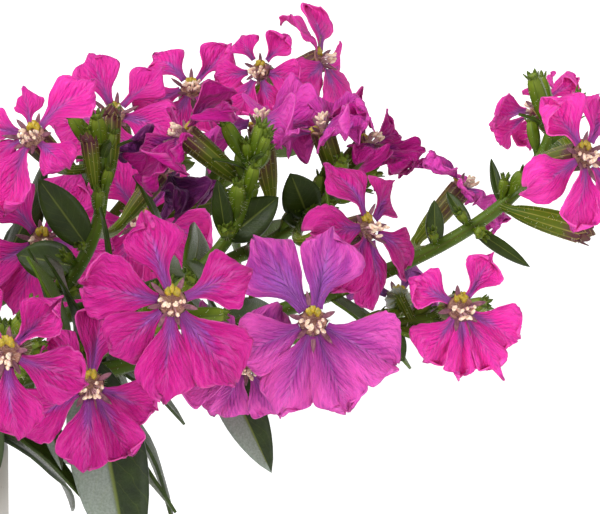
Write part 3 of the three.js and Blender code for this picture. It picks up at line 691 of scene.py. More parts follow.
def new_tree(name, sockets):
    """An empty geometry tree with its named inputs, and its group input."""
    tree = bpy.data.node_groups.new(name, "GeometryNodeTree")
    tree.interface.new_socket("Geometry", in_out="INPUT", socket_type="NodeSocketGeometry")
    tree.interface.new_socket("Geometry", in_out="OUTPUT", socket_type="NodeSocketGeometry")
    for label, kind in sockets.items():
        tree.interface.new_socket(label, in_out="INPUT", socket_type=f"NodeSocket{kind}")
    return tree, tree.nodes.new("NodeGroupInput").outputs


def tube_tree():
    """Tubes along lines, with a girth at each point and ribs round them."""
    tree, given = new_tree("Ribbed tubes", {
        "Sides": "Int", "Steps": "Int", "Ribs": "Int", "Rib depth": "Float", "Skin": "Material"})
    line = add(tree, "GeometryNodeMeshToCurve", [given["Geometry"]])
    line = add(tree, "GeometryNodeCurveSplineType", [line], spline_type="CATMULL_ROM")
    line = add(tree, "GeometryNodeResampleCurve", {"Curve": line, "Count": given["Steps"]})
    share = add(tree, "GeometryNodeSplineParameter")
    line = add(tree, "GeometryNodeStoreNamedAttribute", {
        "Geometry": line, "Name": "lengthwise", "Value": share})
    ring = add(tree, "GeometryNodeCurvePrimitiveCircle", {
        "Resolution": given["Sides"], "Radius": 1.0})
    ring = add(tree, "GeometryNodeStoreNamedAttribute", {
        "Geometry": ring, "Name": "round", "Value": share})
    girth = add(tree, "GeometryNodeInputNamedAttribute", ["girth"])
    tube = add(tree, "GeometryNodeCurveToMesh", {
        "Curve": line, "Profile Curve": ring, "Scale": girth, "Fill Caps": True})
    turn = add(tree, "GeometryNodeInputNamedAttribute", ["round"])
    angle = add(tree, "ShaderNodeMath", [turn, given["Ribs"]], operation="MULTIPLY")
    angle = add(tree, "ShaderNodeMath", [angle, 2 * math.pi], operation="MULTIPLY")
    rib = add(tree, "ShaderNodeMath", [angle], operation="COSINE")
    tube = add(tree, "GeometryNodeStoreNamedAttribute", {
        "Geometry": tube, "Name": "rib", "Value": rib})
    depth = add(tree, "ShaderNodeMath", [rib, given["Rib depth"]], operation="MULTIPLY")
    depth = add(tree, "ShaderNodeMath", [depth, girth], operation="MULTIPLY")
    outward = add(tree, "GeometryNodeInputNormal")
    offset = add(tree, "ShaderNodeVectorMath", {0: outward, "Scale": depth}, operation="SCALE")
    tube = add(tree, "GeometryNodeSetPosition", {"Geometry": tube, "Offset": offset})
    tube = add(tree, "GeometryNodeSetShadeSmooth", {"Geometry": tube})
    tube = add(tree, "GeometryNodeRealizeInstances", [tube])
    tube = add(tree, "GeometryNodeSetMaterial", {"Geometry": tube, "Material": given["Skin"]})
    add(tree, "NodeGroupOutput", [tube])
    return tree


def hair_tree():
    """Hairs scattered over a surface, square to it, except where it is marked bare."""
    tree, given = new_tree("Plant hairs", {
        "Count for each square metre": "Float", "Length": "Float", "Radius": "Float",
        "Seed": "Int", "Hair": "Material"})
    bare = add(tree, "GeometryNodeInputNamedAttribute", ["bare"])
    hairy = add(tree, "FunctionNodeCompare", {0: bare, 1: 0.5}, operation="LESS_THAN")
    roots = add(tree, "GeometryNodeDistributePointsOnFaces", {
        "Mesh": given["Geometry"], "Selection": hairy, "Seed": given["Seed"],
        "Density": given["Count for each square metre"]})
    tilt = add(tree, "FunctionNodeRandomValue", {
        0: (-0.5, -0.5, 0.0), 1: (0.5, 0.5, 0.0), "Seed": 3}, data_type="FLOAT_VECTOR")
    way = add(tree, "ShaderNodeVectorMath", [roots.outputs["Normal"], tilt], operation="ADD")
    turn = add(tree, "FunctionNodeAlignRotationToVector", {"Vector": way}, axis="Z")
    hair = add(tree, "GeometryNodeMeshCone", {
        "Vertices": 3, "Radius Top": 0.0, "Radius Bottom": given["Radius"],
        "Depth": given["Length"]}, fill_type="NGON")
    hair = add(tree, "GeometryNodeStoreNamedAttribute", {
        "Geometry": hair, "Name": "hair", "Value": True}, data_type="BOOLEAN")
    grown = add(tree, "FunctionNodeRandomValue", {2: 0.5, 3: 1.3, "Seed": 5})
    hairs = add(tree, "GeometryNodeInstanceOnPoints", {
        "Points": roots.outputs["Points"], "Instance": hair, "Rotation": turn, "Scale": grown})
    both = add(tree, "GeometryNodeJoinGeometry", [[hairs, given["Geometry"]]])
    both = add(tree, "GeometryNodeRealizeInstances", [both])
    is_hair = add(tree, "GeometryNodeInputNamedAttribute", ["hair"], data_type="BOOLEAN")
    both = add(tree, "GeometryNodeSetMaterial", {
        "Geometry": both, "Selection": is_hair, "Material": given["Hair"]})
    add(tree, "NodeGroupOutput", [both])
    return tree


def blade_tree():
    """Folded, arched blades from points that carry each blade's directions and sizes."""
    tree, given = new_tree("Leaf blades", {
        "Rows": "Int", "Columns": "Int", "Fold": "Float", "Wave": "Float", "Blade": "Material"})
    grid = add(tree, "GeometryNodeMeshGrid", {
        "Size X": 1.0, "Size Y": 2.0, "Vertices X": given["Rows"], "Vertices Y": given["Columns"]})
    sheet = add(tree, "GeometryNodeStoreNamedAttribute", {
        "Geometry": grid, "Name": "UVMap", "Value": grid.outputs["UV Map"]},
        data_type="FLOAT2", domain="CORNER")
    place = add(tree, "ShaderNodeVectorMath", [
        add(tree, "GeometryNodeInputPosition"), (0.5, 0.0, 0.0)], operation="ADD")
    sheet = add(tree, "GeometryNodeStoreNamedAttribute", {
        "Geometry": sheet, "Name": "sheet", "Value": place}, data_type="FLOAT_VECTOR")
    blades = add(tree, "GeometryNodeInstanceOnPoints", {
        "Points": given["Geometry"], "Instance": sheet})
    blades = add(tree, "GeometryNodeRealizeInstances", [blades])
    read = {}
    for name in ("base", "axis", "side", "normal", "size", "sheet"):
        read[name] = add(tree, "GeometryNodeInputNamedAttribute", [
            name], data_type="FLOAT_VECTOR").outputs[0]
    length, half, bend = add(tree, "ShaderNodeSeparateXYZ", [read["size"]]).outputs
    s, t, _ = add(tree, "ShaderNodeSeparateXYZ", [read["sheet"]]).outputs
    opened = add(tree, "ShaderNodeMath", [s, BLADE_OPENS], operation="POWER")
    rest = add(tree, "ShaderNodeMath", [1.0, s], operation="SUBTRACT")
    closed = add(tree, "ShaderNodeMath", [rest, BLADE_CLOSES], operation="POWER")
    profile = add(tree, "ShaderNodeMath", [opened, closed], operation="MULTIPLY")
    profile = add(tree, "ShaderNodeMath", [profile, BLADE_PEAK], operation="MULTIPLY")
    over = add(tree, "ShaderNodeMath", [half, profile], operation="MULTIPLY")
    over = add(tree, "ShaderNodeMath", [over, t], operation="MULTIPLY")
    aside = add(tree, "ShaderNodeMath", [over], operation="ABSOLUTE")
    fold = add(tree, "ShaderNodeMath", [aside, given["Fold"]], operation="MULTIPLY")
    reach = add(tree, "ShaderNodeMath", [length, s], operation="MULTIPLY")
    bow = reach
    for share in (s, bend):
        bow = add(tree, "ShaderNodeMath", [bow, share], operation="MULTIPLY")
    swing = add(tree, "ShaderNodeMath", [s, 13.0, t], operation="MULTIPLY_ADD")
    swing = add(tree, "ShaderNodeMath", [swing], operation="SINE")
    for share in (aside, given["Wave"]):
        swing = add(tree, "ShaderNodeMath", [swing, share], operation="MULTIPLY")
    forward = add(tree, "ShaderNodeMath", [fold, bow], operation="SUBTRACT")
    forward = add(tree, "ShaderNodeMath", [forward, swing], operation="ADD")
    place = read["base"]
    for name, amount in (("axis", reach), ("side", over), ("normal", forward)):
        step = add(tree, "ShaderNodeVectorMath", {
            0: read[name], "Scale": amount}, operation="SCALE")
        place = add(tree, "ShaderNodeVectorMath", [place, step], operation="ADD")
    blades = add(tree, "GeometryNodeSetPosition", {"Geometry": blades, "Position": place})
    blades = add(tree, "GeometryNodeMergeByDistance", {"Geometry": blades, "Distance": 0.01 * MM})
    blades = add(tree, "GeometryNodeSetShadeSmooth", {"Geometry": blades})
    blades = add(tree, "GeometryNodeRealizeInstances", [blades])
    blades = add(tree, "GeometryNodeSetMaterial", {"Geometry": blades, "Material": given["Blade"]})
    add(tree, "NodeGroupOutput", [blades])
    return tree


def stamen_tree():
    """Filaments along each point's axis, with an anther at the end of each."""
    tree, given = new_tree("Stamens", {
        "Filament radius": "Float", "Anther radius": "Float", "Filament": "Material",
        "Anther": "Material"})
    axis = add(tree, "GeometryNodeInputNamedAttribute", ["axis"], data_type="FLOAT_VECTOR")
    reach = add(tree, "GeometryNodeInputNamedAttribute", ["reach"])
    turn = add(tree, "FunctionNodeAlignRotationToVector", {"Vector": axis}, axis="Z")
    thread = add(tree, "GeometryNodeMeshCone", {
        "Vertices": 5, "Side Segments": 2, "Radius Top": given["Filament radius"],
        "Radius Bottom": given["Filament radius"], "Depth": 1.0}, fill_type="NGON")
    stretch = add(tree, "ShaderNodeCombineXYZ", [1.0, 1.0, reach])
    threads = add(tree, "GeometryNodeInstanceOnPoints", {
        "Points": given["Geometry"], "Instance": thread, "Rotation": turn, "Scale": stretch})
    end = add(tree, "ShaderNodeVectorMath", {0: axis, "Scale": reach}, operation="SCALE")
    ends = add(tree, "GeometryNodeSetPosition", {"Geometry": given["Geometry"], "Offset": end})
    anther = add(tree, "GeometryNodeMeshIcoSphere", {
        "Radius": given["Anther radius"], "Subdivisions": 2})
    anther = add(tree, "GeometryNodeTransform", {"Geometry": anther, "Scale": (0.62, 0.75, 1.5)})
    anther = add(tree, "GeometryNodeStoreNamedAttribute", {
        "Geometry": anther, "Name": "anther", "Value": True}, data_type="BOOLEAN")
    tilt = add(tree, "FunctionNodeRandomValue", {
        0: (-0.7, -0.7, -0.7), 1: (0.7, 0.7, 0.7), "Seed": 7}, data_type="FLOAT_VECTOR")
    lean = add(tree, "ShaderNodeVectorMath", [axis, tilt], operation="ADD")
    lean = add(tree, "FunctionNodeAlignRotationToVector", {"Vector": lean}, axis="Z")
    anthers = add(tree, "GeometryNodeInstanceOnPoints", {
        "Points": ends, "Instance": anther, "Rotation": lean})
    both = add(tree, "GeometryNodeJoinGeometry", [[threads, anthers]])
    both = add(tree, "GeometryNodeRealizeInstances", [both])
    both = add(tree, "GeometryNodeSetShadeSmooth", {"Geometry": both})
    both = add(tree, "GeometryNodeSetMaterial", {"Geometry": both, "Material": given["Filament"]})
    is_anther = add(tree, "GeometryNodeInputNamedAttribute", ["anther"], data_type="BOOLEAN")
    both = add(tree, "GeometryNodeSetMaterial", {
        "Geometry": both, "Selection": is_anther, "Material": given["Anther"]})
    add(tree, "NodeGroupOutput", [both])
    return tree


def crumb_tree():
    """Crumbs and pale grains scattered over the parts of a surface that face up."""
    tree, given = new_tree("Compost crumbs", {
        "Count for each square metre": "Float", "Radius": "Float", "Pale share": "Float",
        "Seed": "Int", "Crumb": "Material", "Grain": "Material"})
    _, _, rise = add(tree, "ShaderNodeSeparateXYZ", [add(tree, "GeometryNodeInputNormal")]).outputs
    upper = add(tree, "FunctionNodeCompare", {0: rise, 1: 0.75}, operation="GREATER_THAN")
    roots = add(tree, "GeometryNodeDistributePointsOnFaces", {
        "Mesh": given["Geometry"], "Selection": upper,
        "Density": given["Count for each square metre"], "Seed": given["Seed"]})
    pale = add(tree, "FunctionNodeRandomValue", {
        "Probability": given["Pale share"], "Seed": 11}, data_type="BOOLEAN")
    turn = add(tree, "FunctionNodeRandomValue", {
        0: (0.0, 0.0, 0.0), 1: (6.3, 6.3, 6.3), "Seed": 13}, data_type="FLOAT_VECTOR")
    grown = add(tree, "FunctionNodeRandomValue", {
        0: (0.3, 0.3, 0.3), 1: (1.4, 1.1, 0.9), "Seed": 17}, data_type="FLOAT_VECTOR")
    crumb = add(tree, "GeometryNodeMeshIcoSphere", {"Radius": given["Radius"], "Subdivisions": 1})
    crumb = add(tree, "GeometryNodeStoreNamedAttribute", {
        "Geometry": crumb, "Name": "crumb", "Value": True}, data_type="BOOLEAN")
    dots = add(tree, "GeometryNodeStoreNamedAttribute", {
        "Geometry": roots.outputs["Points"], "Name": "pale", "Value": pale}, data_type="BOOLEAN")
    crumbs = add(tree, "GeometryNodeInstanceOnPoints", {
        "Points": dots, "Instance": crumb, "Rotation": turn, "Scale": grown})
    both = add(tree, "GeometryNodeJoinGeometry", [[crumbs, given["Geometry"]]])
    both = add(tree, "GeometryNodeRealizeInstances", [both])
    is_crumb = add(tree, "GeometryNodeInputNamedAttribute", ["crumb"], data_type="BOOLEAN")
    both = add(tree, "GeometryNodeSetMaterial", {
        "Geometry": both, "Selection": is_crumb, "Material": given["Crumb"]})
    is_pale = add(tree, "GeometryNodeInputNamedAttribute", ["pale"], data_type="BOOLEAN")
    both = add(tree, "GeometryNodeSetMaterial", {
        "Geometry": both, "Selection": is_pale, "Material": given["Grain"]})
    add(tree, "NodeGroupOutput", [both])
    return tree


# Meshes


def mesh_of(name, points, edges=(), faces=(), **attributes):
    """A mesh from points in millimetres, with named attributes on its points."""
    mesh = bpy.data.meshes.new(name)
    mesh.from_pydata((np.asarray(points, float) * MM).tolist(), list(edges), list(faces))
    for key, values in attributes.items():
        values = np.asarray(values, float)
        kind, field = ("FLOAT_VECTOR", "vector") if values.ndim == 2 else ("FLOAT", "value")
        layer = mesh.attributes.new(key, kind, "POINT")
        layer.data.foreach_set(field, values.ravel())
    return mesh


def made(mesh, steps=(), thickness=0.0):
    """A plain mesh made from another by geometry trees, each with its values by name, and then
    by giving its sheets a thickness in millimetres."""
    source = bpy.data.objects.new(mesh.name, mesh)
    bpy.context.scene.collection.objects.link(source)
    for tree, values in steps:
        modifier = source.modifiers.new(tree.name, "NODES")
        modifier.node_group = tree
        for item in tree.interface.items_tree:
            if item.item_type == "SOCKET" and item.in_out == "INPUT" and item.name in values:
                modifier[item.identifier] = values[item.name]
    if thickness:
        wall = source.modifiers.new("Wall", "SOLIDIFY")
        wall.thickness, wall.offset = thickness * MM, 0.0
    graph = bpy.context.evaluated_depsgraph_get()
    result = bpy.data.meshes.new_from_object(
        source.evaluated_get(graph), preserve_all_data_layers=True, depsgraph=graph)
    source.modifiers.clear()
    bpy.data.objects.remove(source)
    return result


def joined(name, meshes):
    """One object of several meshes, with their materials kept."""
    parts = [bpy.data.objects.new(name, mesh) for mesh in meshes if len(mesh.polygons)]
    for part in parts:
        bpy.context.scene.collection.objects.link(part)
    if len(parts) > 1:
        with bpy.context.temp_override(active_object=parts[0], selected_editable_objects=parts):
            bpy.ops.object.join()
    parts[0].name = parts[0].data.name = name
    return parts[0]


def smooth(mesh):
    """The same mesh, shaded smooth."""
    for polygon in mesh.polygons:
        polygon.use_smooth = True
    return mesh


def grid_faces(rows, columns):
    """The faces of a sheet of points in rows and columns."""
    faces = []
    for i in range(rows - 1):
        for j in range(columns - 1):
            a = i * columns + j
            faces.append((a, a + columns, a + columns + 1, a + 1))
    return faces


def turned_shape(profile, sides, centre=(0, 0, 0), axis=UP, over=(1, 0, 0)):
    """Points and faces of a closed shape turned from a profile of (radius, height), from its
    lower pole to its upper one."""
    over = square_to(axis, vector(over))
    other = np.cross(axis, over)
    points, faces = [vector(centre) + axis * profile[0][1]], []
    for radius, height in profile[1:-1]:
        for k in range(sides):
            angle = 2 * math.pi * k / sides
            ray = over * math.cos(angle) + other * math.sin(angle)
            points.append(vector(centre) + axis * height + ray * radius)
    points.append(vector(centre) + axis * profile[-1][1])
    last = len(points) - 1
    for k in range(sides):
        n = (k + 1) % sides
        faces.append((0, 1 + n, 1 + k))
        for i in range(len(profile) - 3):
            a = 1 + i * sides
            faces.append((a + k, a + n, a + sides + n, a + sides + k))
        top = last - sides
        faces.append((last, top + k, top + n))
    return points, faces


def tree_of(name, build):
    """The geometry tree of a name, built when it is first asked for."""
    return bpy.data.node_groups.get(name) or build()


def blades_mesh(blades, shape, material, thickness):
    """A mesh of blades from their directions and sizes."""
    fields = {key: [b[key] for b in blades] for key in ("axis", "side", "normal", "youth", "painted_sheen")}
    points = mesh_of(
        "blades", [b["base"] for b in blades], base=[b["base"] * MM for b in blades],
        size=[(b["size"][0] * MM, b["size"][1] * MM, b["size"][2]) for b in blades], **fields)
    return made(points, [(tree_of("Leaf blades", blade_tree), {**shape, "Blade": material})],
                thickness)


def lines_mesh(lines):
    """A mesh of lines, each a list of (point, girth)."""
    points, girths, edges = [], [], []
    for line in lines:
        first = len(points)
        points += [p for p, _ in line]
        girths += [g * MM for _, g in line]
        edges += [(first + i, first + i + 1) for i in range(len(line) - 1)]
    return mesh_of("lines", points, edges, girth=girths)


# Materials


def new_material(name, roughness, **sockets):
    """A material, its tree and its shader, with the values on the shader's own sockets."""
    material = bpy.data.materials.new(name)
    material.use_nodes = True
    tree = material.node_tree
    shader = tree.nodes["Principled BSDF"]
    shader.inputs["Roughness"].default_value = roughness
    for key, value in sockets.items():
        shader.inputs[key.replace("_", " ")].default_value = value
    return material, tree, shader


def grains(size):
    """The scale of a pattern in metres whose grains are a real size in millimetres."""
    return 1 / (size * MM)


def petal_material(name, claw, middle, margin, vein):
    """Petal tissue: thin, silky crepe that lets light through, so its colour glows; violet at
    the claw and pinker at the margin, with fine darker veins that leave the pale midrib like
    the barbs of a feather and crease the surface."""
    material, tree, shader = new_material(
        name, 0.6, Sheen_Weight=0.03, Sheen_Roughness=0.4, Subsurface_Weight=0.1,
        Subsurface_Scale=0.8 * MM, Specular_IOR_Level=0.12)
    uv = add(tree, "ShaderNodeUVMap", uv_map="UVMap")
    s, across01, _ = add(tree, "ShaderNodeSeparateXYZ", [uv]).outputs
    t = add(tree, "ShaderNodeMath", [across01, 2.0, -1.0], operation="MULTIPLY_ADD")
    aside = add(tree, "ShaderNodeMath", [t], operation="ABSOLUTE")
    tone = add(tree, "ShaderNodeAttribute", attribute_name="tone").outputs["Fac"]
    patch = add(tree, "ShaderNodeMath", [tone, 40.0], operation="MULTIPLY")
    # Pleats leave the midrib like barbs, and broader creases run along the petal. It is about
    # 12 mm long and wide, so ten grains along it are about 1.2 mm each.
    barb = add(tree, "ShaderNodeMath", [aside, -0.8, s], operation="MULTIPLY_ADD")
    quick = add(tree, "ShaderNodeMath", [barb, 10.0], operation="MULTIPLY")
    slow = add(tree, "ShaderNodeMath", [t, 3.0], operation="MULTIPLY")
    pleat = add(tree, "ShaderNodeCombineXYZ", [quick, slow, patch])
    pleat = add(tree, "ShaderNodeTexNoise", {
        "Vector": pleat, "Scale": 1.0, "Detail": 4.0, "Roughness": 0.6})
    quick = add(tree, "ShaderNodeMath", [t, 6.0], operation="MULTIPLY")
    slow = add(tree, "ShaderNodeMath", [s, 2.4], operation="MULTIPLY")
    crease = add(tree, "ShaderNodeCombineXYZ", [quick, slow, patch])
    crease = add(tree, "ShaderNodeTexNoise", {
        "Vector": crease, "Scale": 1.0, "Detail": 3.0, "Roughness": 0.6})
    # Fine veins stray with the creases and show best near the midrib and the claw.
    stray = add(tree, "ShaderNodeMath", [barb, 7.5, crease], operation="MULTIPLY_ADD")
    veins = add(tree, "ShaderNodeMath", [stray, 0.5], operation="PINGPONG")
    veins = add(tree, "ShaderNodeMapRange", [veins, 0.36, 0.48, 0.0, 1.0])
    inner = add(tree, "ShaderNodeMapRange", [aside, 0.05, 0.7, 1.0, 0.15])
    lower = add(tree, "ShaderNodeMapRange", [s, 0.3, 0.85, 1.0, 0.3])
    for share in (inner, lower):
        veins = add(tree, "ShaderNodeMath", [veins, share], operation="MULTIPLY")
    # The colour goes from the claw's to the margin's, sooner in one place than in another.
    place = add(tree, "ShaderNodeMath", [crease, 1.1, s], operation="MULTIPLY_ADD")
    place = add(tree, "ShaderNodeMath", [tone, 0.45, place], operation="MULTIPLY_ADD")
    place = add(tree, "ShaderNodeMath", [place, 0.42], operation="SUBTRACT")
    place = add(tree, "ShaderNodeMath", [aside, 0.5, place], operation="MULTIPLY_ADD")
    colour = add(tree, "ShaderNodeValToRGB", [place],
                 stops=[(0.42, claw), (0.62, claw), (0.92, middle)])
    outer = add(tree, "ShaderNodeMapRange", [place, 0.95, 1.5, 0.0, 1.0])
    # Painted shade darkens the furrows and a painted highlight lightens the crests, the thin rim
    # lets the most light through, and the midrib is pale, with pale streaks beside it.
    painted_furrow_shade = add(tree, "ShaderNodeMapRange", [pleat, 0.5, 0.25, 0.0, 0.62])
    painted_crest_highlight = add(tree, "ShaderNodeMapRange", [pleat, 0.55, 0.8, 0.0, 0.3])
    rim = add(tree, "ShaderNodeMath", [aside, s], operation="MAXIMUM")
    rim = add(tree, "ShaderNodeMapRange", [rim, 0.97, 1.0, 0.0, 0.18])
    depth = add(tree, "ShaderNodeMath", [veins, 0.85], operation="MULTIPLY")
    rib = add(tree, "ShaderNodeMapRange", [aside, 0.0, 0.07, 0.32, 0.0])
    streak = add(tree, "ShaderNodeMapRange", [crease, 0.52, 0.72, 0.0, 0.55])
    streak = add(tree, "ShaderNodeMath", [streak, inner], operation="MULTIPLY")
    rib = add(tree, "ShaderNodeMath", [rib, streak], operation="MAXIMUM")
    rib = add(tree, "ShaderNodeMath", [rib, lower], operation="MULTIPLY")
    # The vein colour on the furrows is painted shade, and #F080C8 on the crests is a painted
    # highlight.
    for share, tint in ((outer, margin), (painted_furrow_shade, vein), (painted_crest_highlight, "#F080C8"), (rim, "#F29AD4"),
                        (depth, vein), (rib, "#C48AD0")):
        colour = add(tree, "ShaderNodeMix", {
            0: share, 6: colour, 7: linear(tint)}, data_type="RGBA")
    tree.links.new(colour.outputs[2], shader.inputs["Base Color"])
    height = add(tree, "ShaderNodeMath", [crease, 1.7, pleat], operation="MULTIPLY_ADD")
    height = add(tree, "ShaderNodeMath", [veins, -0.4, height], operation="MULTIPLY_ADD")
    bump = add(tree, "ShaderNodeBump", {"Strength": 0.8, "Distance": 1.1 * MM, "Height": height})
    tree.links.new(bump.outputs[0], shader.inputs["Normal"])
    return material


# The colours of a petal's claw, middle, margin and veins, in each state
PETAL_LOOKS = {
    "fresh": ("#A24AAA", "#C61A86", "#CE2890", "#840C68"),
    "bright": ("#AE5AB6", "#F02CA6", "#F840B2", "#A81888"),
    "wilting": ("#A058AE", "#D438AA", "#E048B4", "#941A80"),
    "violet": ("#A050AE", "#B03C9E", "#E858BC", "#6E2076"),
    "lilac": ("#9A60AE", "#A456AC", "#B25AB0", "#7C3A8A"),
    "fading": ("#86207E", "#B20E7C", "#BC1686", "#6E0656"),
    "dried": ("#44124A", "#561658", "#6A1C62", "#2C0830"),
}

# How much more than a fresh petal an old one crumples
CRUMPLES = {"wilting": 1.5, "fading": 1.6, "dried": 2.4}


def leaf_material(name, dark, light, young, rib_colour):
    """A waxy leaf blade: deep green, with a greyish sheen painted on one half as a reflection of
    the bright surroundings, a pale midrib and faint side veins, and lighter where it is young."""
    material, tree, shader = new_material(name, 0.4, Coat_Weight=0.03, Coat_Roughness=0.35,
                                          Specular_IOR_Level=0.16)
    uv = add(tree, "ShaderNodeUVMap", uv_map="UVMap")
    s, across01, _ = add(tree, "ShaderNodeSeparateXYZ", [uv]).outputs
    t = add(tree, "ShaderNodeMath", [across01, 2.0, -1.0], operation="MULTIPLY_ADD")
    aside = add(tree, "ShaderNodeMath", [t], operation="ABSOLUTE")
    spot = add(tree, "ShaderNodeTexCoord").outputs["Object"]
    broad = add(tree, "ShaderNodeTexNoise", {"Vector": spot, "Scale": grains(4.0), "Detail": 3.0})
    fine = add(tree, "ShaderNodeTexNoise", {"Vector": spot, "Scale": grains(0.35), "Detail": 4.0})
    colour = add(tree, "ShaderNodeValToRGB", [broad], stops=[(0.3, dark), (0.7, light)])
    youth = add(tree, "ShaderNodeAttribute", attribute_name="youth").outputs["Fac"]
    # A greyish reflection of the bright surroundings is painted on the half of the blade that faces
    # the light, in patches.
    painted_sheen = add(tree, "ShaderNodeAttribute", attribute_name="painted_sheen").outputs["Fac"]
    half = add(tree, "ShaderNodeMapRange", [t, -0.12, 0.05, 0.8, 0.06])
    sheen_patches = add(tree, "ShaderNodeMapRange", [fine, 0.25, 0.65, 0.55, 0.9])
    for share in (painted_sheen, sheen_patches):
        half = add(tree, "ShaderNodeMath", [half, share], operation="MULTIPLY")
    slant = add(tree, "ShaderNodeMath", [aside, -2.4, broad], operation="MULTIPLY_ADD")
    sides = add(tree, "ShaderNodeMath", [s, 9.0, slant], operation="MULTIPLY_ADD")
    sides = add(tree, "ShaderNodeMath", [sides, 0.5], operation="PINGPONG")
    sides = add(tree, "ShaderNodeMapRange", [sides, 0.44, 0.5, 0.0, 0.14])
    rib = add(tree, "ShaderNodeMapRange", [aside, 0.02, 0.08, 0.7, 0.0])
    veins = add(tree, "ShaderNodeMath", [sides, rib], operation="MAXIMUM")
    # A2ACA2 is the painted greyish sheen; the young colour and the veins are the leaf's own.
    for share, tint in ((youth, young), (half, "#A2ACA2"), (veins, rib_colour)):
        colour = add(tree, "ShaderNodeMix", {
            0: share, 6: colour, 7: linear(tint)}, data_type="RGBA")
    tree.links.new(colour.outputs[2], shader.inputs["Base Color"])
    height = add(tree, "ShaderNodeMath", [veins, -1.2, fine], operation="MULTIPLY_ADD")
    bump = add(tree, "ShaderNodeBump", {"Strength": 0.4, "Distance": 0.25 * MM, "Height": height})
    tree.links.new(bump.outputs[0], shader.inputs["Normal"])
    rough = add(tree, "ShaderNodeMapRange", [fine, 0.3, 0.7, 0.28, 0.5])
    tree.links.new(rough.outputs[0], shader.inputs["Roughness"])
    return material


def skin_material(name, low, high, rib, ends, gloss=0.45):
    """Young plant skin, as on stems, calyx tubes and buds: one green low down and another
    higher, darker along the ribs and towards the mouth, with fine grain along it."""
    material, tree, shader = new_material(name, gloss, Subsurface_Weight=0.08,
                                          Subsurface_Scale=0.6 * MM, Specular_IOR_Level=0.2)
    lengthwise = add(tree, "ShaderNodeAttribute", attribute_name="lengthwise").outputs["Fac"]
    ridge = add(tree, "ShaderNodeAttribute", attribute_name="rib").outputs["Fac"]
    spot = add(tree, "ShaderNodeTexCoord").outputs["Object"]
    broad = add(tree, "ShaderNodeTexNoise", {"Vector": spot, "Scale": grains(3.0), "Detail": 3.0})
    fine = add(tree, "ShaderNodeTexNoise", {"Vector": spot, "Scale": grains(0.3), "Detail": 4.0})
    stray = add(tree, "ShaderNodeMath", [broad, 0.5], operation="SUBTRACT")
    place = add(tree, "ShaderNodeMath", [stray, 0.5, lengthwise], operation="MULTIPLY_ADD")
    colour = add(tree, "ShaderNodeValToRGB", [place],
                 stops=[(0.2, low), (0.5, high), (0.7, high), (0.95, ends)])
    stripe = add(tree, "ShaderNodeMapRange", [ridge, 0.35, 1.0, 0.0, 1.1])
    stripe = add(tree, "ShaderNodeMath", [stripe, broad], operation="MULTIPLY")
    colour = add(tree, "ShaderNodeMix", {0: stripe, 6: colour, 7: linear(rib)}, data_type="RGBA")
    tree.links.new(colour.outputs[2], shader.inputs["Base Color"])
    bump = add(tree, "ShaderNodeBump", {"Strength": 0.3, "Distance": 0.12 * MM, "Height": fine})
    tree.links.new(bump.outputs[0], shader.inputs["Normal"])
    return material


def grain_material(name, stops, roughness, size, strength=0.3, **sockets):
    """A plain natural surface whose colour wanders over grains of a real size."""
    material, tree, shader = new_material(name, roughness, **sockets)
    spot = add(tree, "ShaderNodeTexCoord").outputs["Object"]
    grain = add(tree, "ShaderNodeTexNoise", {
        "Vector": spot, "Scale": grains(size), "Detail": 5.0, "Roughness": 0.6})
    colour = add(tree, "ShaderNodeValToRGB", [grain], stops=stops)
    tree.links.new(colour.outputs[0], shader.inputs["Base Color"])
    bump = add(tree, "ShaderNodeBump", {
        "Strength": strength, "Distance": 0.4 * size * MM, "Height": grain})
    tree.links.new(bump.outputs[0], shader.inputs["Normal"])
    return material


# Properties


class PotSettings(bpy.types.PropertyGroup):
    """The finish of the pot."""

    glaze: FloatVectorProperty(
        name="Glaze", description="Colour of the pot's glaze", subtype="COLOR", size=4,
        min=0, max=1, default=linear("#ABA398"))
    gloss: FloatProperty(
        name="Roughness", description="Roughness of the glaze", subtype="FACTOR", min=0,
        max=1, default=0.45)
    sides: IntProperty(
        name="Sides", description="How many faces go round the pot", min=24, max=192,
        default=96)


class CompostSettings(bpy.types.PropertyGroup):
    """The compost in the pot."""

    crumb: FloatProperty(
        name="Crumb", description="Radius of a typical crumb", unit="LENGTH", min=0.0002,
        max=0.004, default=0.0013)
    crumbs: FloatProperty(
        name="Crumbs", description="How many crumbs lie on each square metre", min=0,
        default=220000)
    pale: FloatProperty(
        name="Pale grains", description="Share of the crumbs that are pale grains",
        subtype="FACTOR", min=0, max=1, default=0.07)


class ShootSettings(bpy.types.PropertyGroup):
    """The stems, leaves, calyx tubes and buds."""

    blade: FloatProperty(
        name="Leaf thickness", description="Thickness of a leaf blade", unit="LENGTH",
        min=0.0001, max=0.002, default=0.0005)
    hair: FloatProperty(
        name="Hair length", description="Length of the hairs on young skin", unit="LENGTH",
        min=0, max=0.004, default=0.0008)
    hairs: FloatProperty(
        name="Hairs", description="How many hairs stand on each square metre", min=0,
        default=700000)
    ribs: IntProperty(
        name="Calyx ribs", description="How many ribs run along a calyx tube", min=4, max=16,
        default=12)


class FlowerSettings(bpy.types.PropertyGroup):
    """The petals and what stands in the throat."""

    thickness: FloatProperty(
        name="Petal thickness", description="Thickness of a petal", unit="LENGTH",
        min=0.0001, max=0.002, default=0.00026)
    crumple: FloatProperty(
        name="Crumple", description="How strongly the petals crinkle", min=0, max=3,
        default=1.2)
    stamens: IntProperty(
        name="Stamens", description="How many stamens stand in a throat", min=0, max=16,
        default=11)
    anther: FloatVectorProperty(
        name="Anthers", description="Colour of the anthers", subtype="COLOR", size=4, min=0,
        max=1, default=linear("#F6E2CC"))
    spot: FloatVectorProperty(
        name="Nectar lobes", description="Colour of the lobes above the throat",
        subtype="COLOR", size=4, min=0, max=1, default=linear("#BFA022"))


